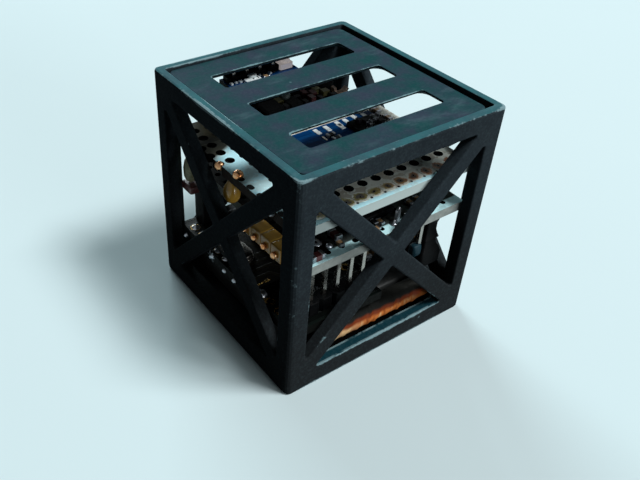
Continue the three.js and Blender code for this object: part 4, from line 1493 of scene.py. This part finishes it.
# %% Beside the module
clip = strap([(8.0, 34.2), (8.15, 33.4), (8.7, 32.9), (9.6, 32.8), (10.4, 33.0), (10.9, 33.5)], 0.9, 0.5)
piece("beige_clip", copies(clip, (0, 7.4, 0)), BEIGE, smooth=50)
film = pillow((8.6, 6.9, 29.6), (11.0, 8.9, 32.7), 0.7, 0.6, 0.1, 4, 8)
piece("film_capacitor", film, DEEP_RED, smooth=50)
piece("film_capacitor_leads", copies(pin(29.4, 30.2, 0.25, 0.1), [(9.2, 7.9, 0), (10.5, 7.9, 0)]), SOLDER)
piece("rear_left_spacer", block((-14.0, 13.4, 10.5), (-11.6, 16.5, 20.7), 0.3, 0.15, 2), HEADER)
drop = lathe([(0.4, 0), (0.9, 0.4), (1.2, 1.2), (1.25, 2.6), (1.0, 4.0), (0.5, 4.8), (0.1, 5.0)], 20)
piece("rear_left_drop", copies(drop, (-15.5, 14.6, 20.0)), PALE_OLIVE, smooth=60)
piece("rear_left_block", block((-16.8, 12.6, 18.5), (-14.1, 15.9, 19.9), 0.5, 0.3, 2), DEEP_RED)

# %% Plug and white parts of the rear board
low, high = span("rear_sensor_board")
piece("rear_board_plug", block((-7.9, 9.95, 31.6), (4.9, 13.4, low[2]), 0.35, 0.2, 2), HEADER)
dots = [(x, y, high[2]) for x, y in ((-7.8, 14.0), (-6.9, 14.1), (-6.1, 14.0), (-2.1, 14.5), (-0.2, 14.2))]
white_parts = joined(copies(block((-0.26, -0.35, 0), (0.26, 0.35, 0.35), 0.12, 0.06, 2), dots),
                     block((-5.6, 12.9, high[2]), (-2.7, 13.9, high[2] + 0.5), 0.15, 0.08, 2),
                     block((-4.6, 13.4, high[2]), (-3.2, 14.4, high[2] + 0.9), 0.3, 0.08, 2))
piece("rear_board_white_parts", white_parts, WHITE_AND_TIN_SHINE)

# %% [markdown]
# ## Tinned edges and odd joints
# The radio module is soldered by tinned notches in its edge, and its dark cover carries small parts
# of its own, at seeded places. The rest of this step is the untidy part of hand work: joints at the
# ends of rows, a bent wire end, a star-shaped splash of solder.

# %% Notches of the radio module
low, high = span("radio_module")
notch = block((-0.42, -0.85, 0), (0.42, 0.85, high[2] - low[2] + 0.1), 0.15, 0.06, 2)
tinned = [(0.6, 1.9), (2.65, 1.9), (5.15, 2.1), (5.0, 1.3), (6.8, 2.1), (8.8, 2.4), (10.7, 2.1)]
tinned += [(x, low[1] + 0.8) for x in (-6.8, -4.9, -3.0, -1.1, 0.8, 2.7, 4.6, 6.5, 8.4, 10.3)]
# The notches' white finish paints the shine of their tin.
piece("radio_tinned_notches", copies(notch, lifted(tinned, low[2])), WHITE_AND_TIN_SHINE)

# %% Cover of the radio module and its parts
low, high = span("radio_chip")
cover = block((low[0] + 1.3, low[1], low[2]), (high[0], 1.1, low[2] + 0.7), 0.3, 0.1, 2)
piece("radio_cover", cover, DARK_BOARD, "radio_chip")
rows = []
for k in range(34):
    spot = random.uniform((low[0] + 2.0, low[1] + 0.6), (high[0] - 0.6, 0.5))
    size = random.uniform((0.9, 0.45, 0.35), (1.7, 0.9, 0.8))
    rows.append((["black", "black", "red", "tan"][k % 4], [(*spot, k % 2)], low[2] + 0.68, size))
caps = small_parts("radio_parts_", rows, {"tan": GREY_CERAMIC, "black": RESISTOR, "red": DARK_BOARD})
piece("radio_parts_caps", joined(*caps[::3]), SOLDER)
spots = joined(block((7.0, -1.8, low[2]), (7.5, -1.2, low[2] + 0.5), 0.15, 0.05, 1),
               block((6.0, -0.6, low[2]), (6.5, 0.9, low[2] + 0.15), 0.15, 0.05, 1),
               block((0.1, -1.1, low[2]), (0.5, 0.3, low[2] + 0.15), 0.15, 0.05, 1))
piece("radio_tinned_spots", spots, STEEL)
gold_line = joined(block((-16.3, -6.5, 12.38), (-16.05, -3.4, 12.5), 0.1, 0.04, 1),
                   block((-16.3, -6.55, 12.38), (-13.6, -6.3, 12.5), 0.1, 0.04, 1))
piece("daughter_gold_edge", gold_line, GOLD)

# %% Splash, drops and a bent wire end


def spun(shape, angle):
    """A shape turned about the X axis: y turns towards z."""
    x, y, z = shape[0].T
    sine, cosine = np.sin(angle), np.cos(angle)
    return np.column_stack([x, y * cosine - z * sine, y * sine + z * cosine]), shape[1]


ray = turned(pin(-1.1, 1.1, 0.12, 0.9), "y")
star = [copies(spun(ray, k * np.pi / 3), (-16.75, 6.5, 9.8)) for k in range(3)]
SMALL_DROPS = [(5.6, -15.2, 22.3), (-17.0, 14.4, 8.8), (-16.6, 2.4, 8.9), (-16.6, -0.6, 8.9),
               (-9.3, -14.6, 22.3)]
LARGE_DROPS = [(-16.0, -7.6, 10.4), (-16.8, -10.2, 28.5)]
upright = pin(0, 2.6, 0.28)
bent = upright[0] + upright[0][:, 2:] * (0.35, 0.3, 0)
splash = joined(copies(BALL, (-16.3, 6.5, 9.0)), *star, copies(scaled(BALL, 0.62), SMALL_DROPS),
                copies(BALL, LARGE_DROPS), copies((bent, upright[1]), (3.0, -15.6, 22.2)))
piece("solder_splashes", splash, SOLDER, smooth=60)

# %% [markdown]
# ## Floor, light and camera
# The cube stands on a plain pale floor. Large soft lamps and an even pale sky light it at a plain
# level. The floor and the sky look pale to the camera, in mirrors and through glass, but throw less
# light than that on the cube. The camera looks from the front left and above, close to the cube, with
# a little shift, which slides the picture in its frame without turning the view.

# %% Floor


def seen_directly(tree):
    """1 for a ray from the camera, a mirror or glass, and 0 for a ray that only carries light."""
    ray = tree.nodes.new("ShaderNodeLightPath").outputs
    bent_ray = maths(tree, "MAXIMUM", ray["Is Glossy Ray"], ray["Is Transmission Ray"])
    return maths(tree, "MAXIMUM", ray["Is Camera Ray"], bent_ray)


FLOOR_REACH = 4000.0
material, tree, shader, place = begin("floor_paper", Roughness=0.9, Specular_IOR_Level=0.1)
paper, _ = mottle(tree, place, 6.0, (210, 228, 230), (206, 224, 227), 1.0)
end(tree, shader, mixed(tree, seen_directly(tree), (64, 66, 68), paper))
mesh = bpy.data.meshes.new("floor")
corners = lifted(rectangle(FLOOR_REACH, FLOOR_REACH), 0) * MM
mesh.from_pydata(corners.tolist(), [], [[0, 1, 2, 3]])
mesh.materials.append(material)
floor = bpy.data.objects.new("floor", mesh)
bpy.context.scene.collection.objects.link(floor)
print("floor", FLOOR_REACH * 2 * MM, "metres wide")

# %% Light


def lamp(name, place, target, size, power, colour):
    """A square area lamp at a place in millimetres, facing a target: its -Z axis points there."""
    data = bpy.data.lights.new(name, "AREA")
    data.shape = "SQUARE"
    data.size = size * MM
    data.energy = power
    data.color = colour
    thing = bpy.data.objects.new(name, data)
    thing.location = Vector(place) * MM
    thing.rotation_euler = (Vector(target) - Vector(place)).to_track_quat("-Z", "Y").to_euler()
    bpy.context.scene.collection.objects.link(thing)


lamp("window", (300, 1270, 430), (0, 0, 25), 700, 19.0, (0.82, 0.96, 1.0))
lamp("key", (470, -560, 1330), (0, 0, 20), 420, 20.0, (0.98, 0.99, 1.0))
lamp("front", (260, -1400, 260), (0, 0, 20), 500, 7.5, (0.94, 0.98, 1.0))
world = bpy.data.worlds.new("room")
bpy.context.scene.world = world
world.use_nodes = True
background = world.node_tree.nodes["Background"]
SKY_LIGHT, SKY_SEEN_MORE = 0.035, 0.4
strength = node(world.node_tree, "Math", {0: seen_directly(world.node_tree), 1: SKY_SEEN_MORE, 2: SKY_LIGHT},
                operation="MULTIPLY_ADD")
world.node_tree.links.new(strength.outputs[0], background.inputs["Strength"])
background.inputs["Color"].default_value = (0.86, 0.94, 0.97, 1.0)
bpy.context.scene.view_settings.view_transform = "Standard"

# %% Camera
AZIMUTH, ELEVATION, ROLL = map(math.radians, (-37.176, 38.691, 2.682))
AIM, DISTANCE, TO_THE_LEFT, BELOW = np.array([0, 0, 19.0]), 122.311, 6.10, 8.493
back = np.array([math.sin(AZIMUTH) * math.cos(ELEVATION), -math.cos(AZIMUTH) * math.cos(ELEVATION),
                 math.sin(ELEVATION)])
level_right = np.array([math.cos(AZIMUTH), math.sin(AZIMUTH), 0.0])
level_up = np.cross(back, level_right)
right = level_right * math.cos(ROLL) + level_up * math.sin(ROLL)
up = level_up * math.cos(ROLL) - level_right * math.sin(ROLL)
eye = AIM + DISTANCE * back - TO_THE_LEFT * right - BELOW * up
optics = bpy.data.cameras.new("camera")
optics.sensor_width, optics.lens = 36.0, 41.2273
optics.shift_x, optics.shift_y = 0.0625, 0.015625
optics.clip_start, optics.clip_end = 0.005, 20.0
camera = bpy.data.objects.new("camera", optics)
pose = np.eye(4)
pose[:3] = np.column_stack([right, up, back, eye * MM])
camera.matrix_world = Matrix(pose.tolist())
bpy.context.scene.collection.objects.link(camera)
bpy.context.scene.camera = camera
print("camera", np.round(eye, 1), "mm")
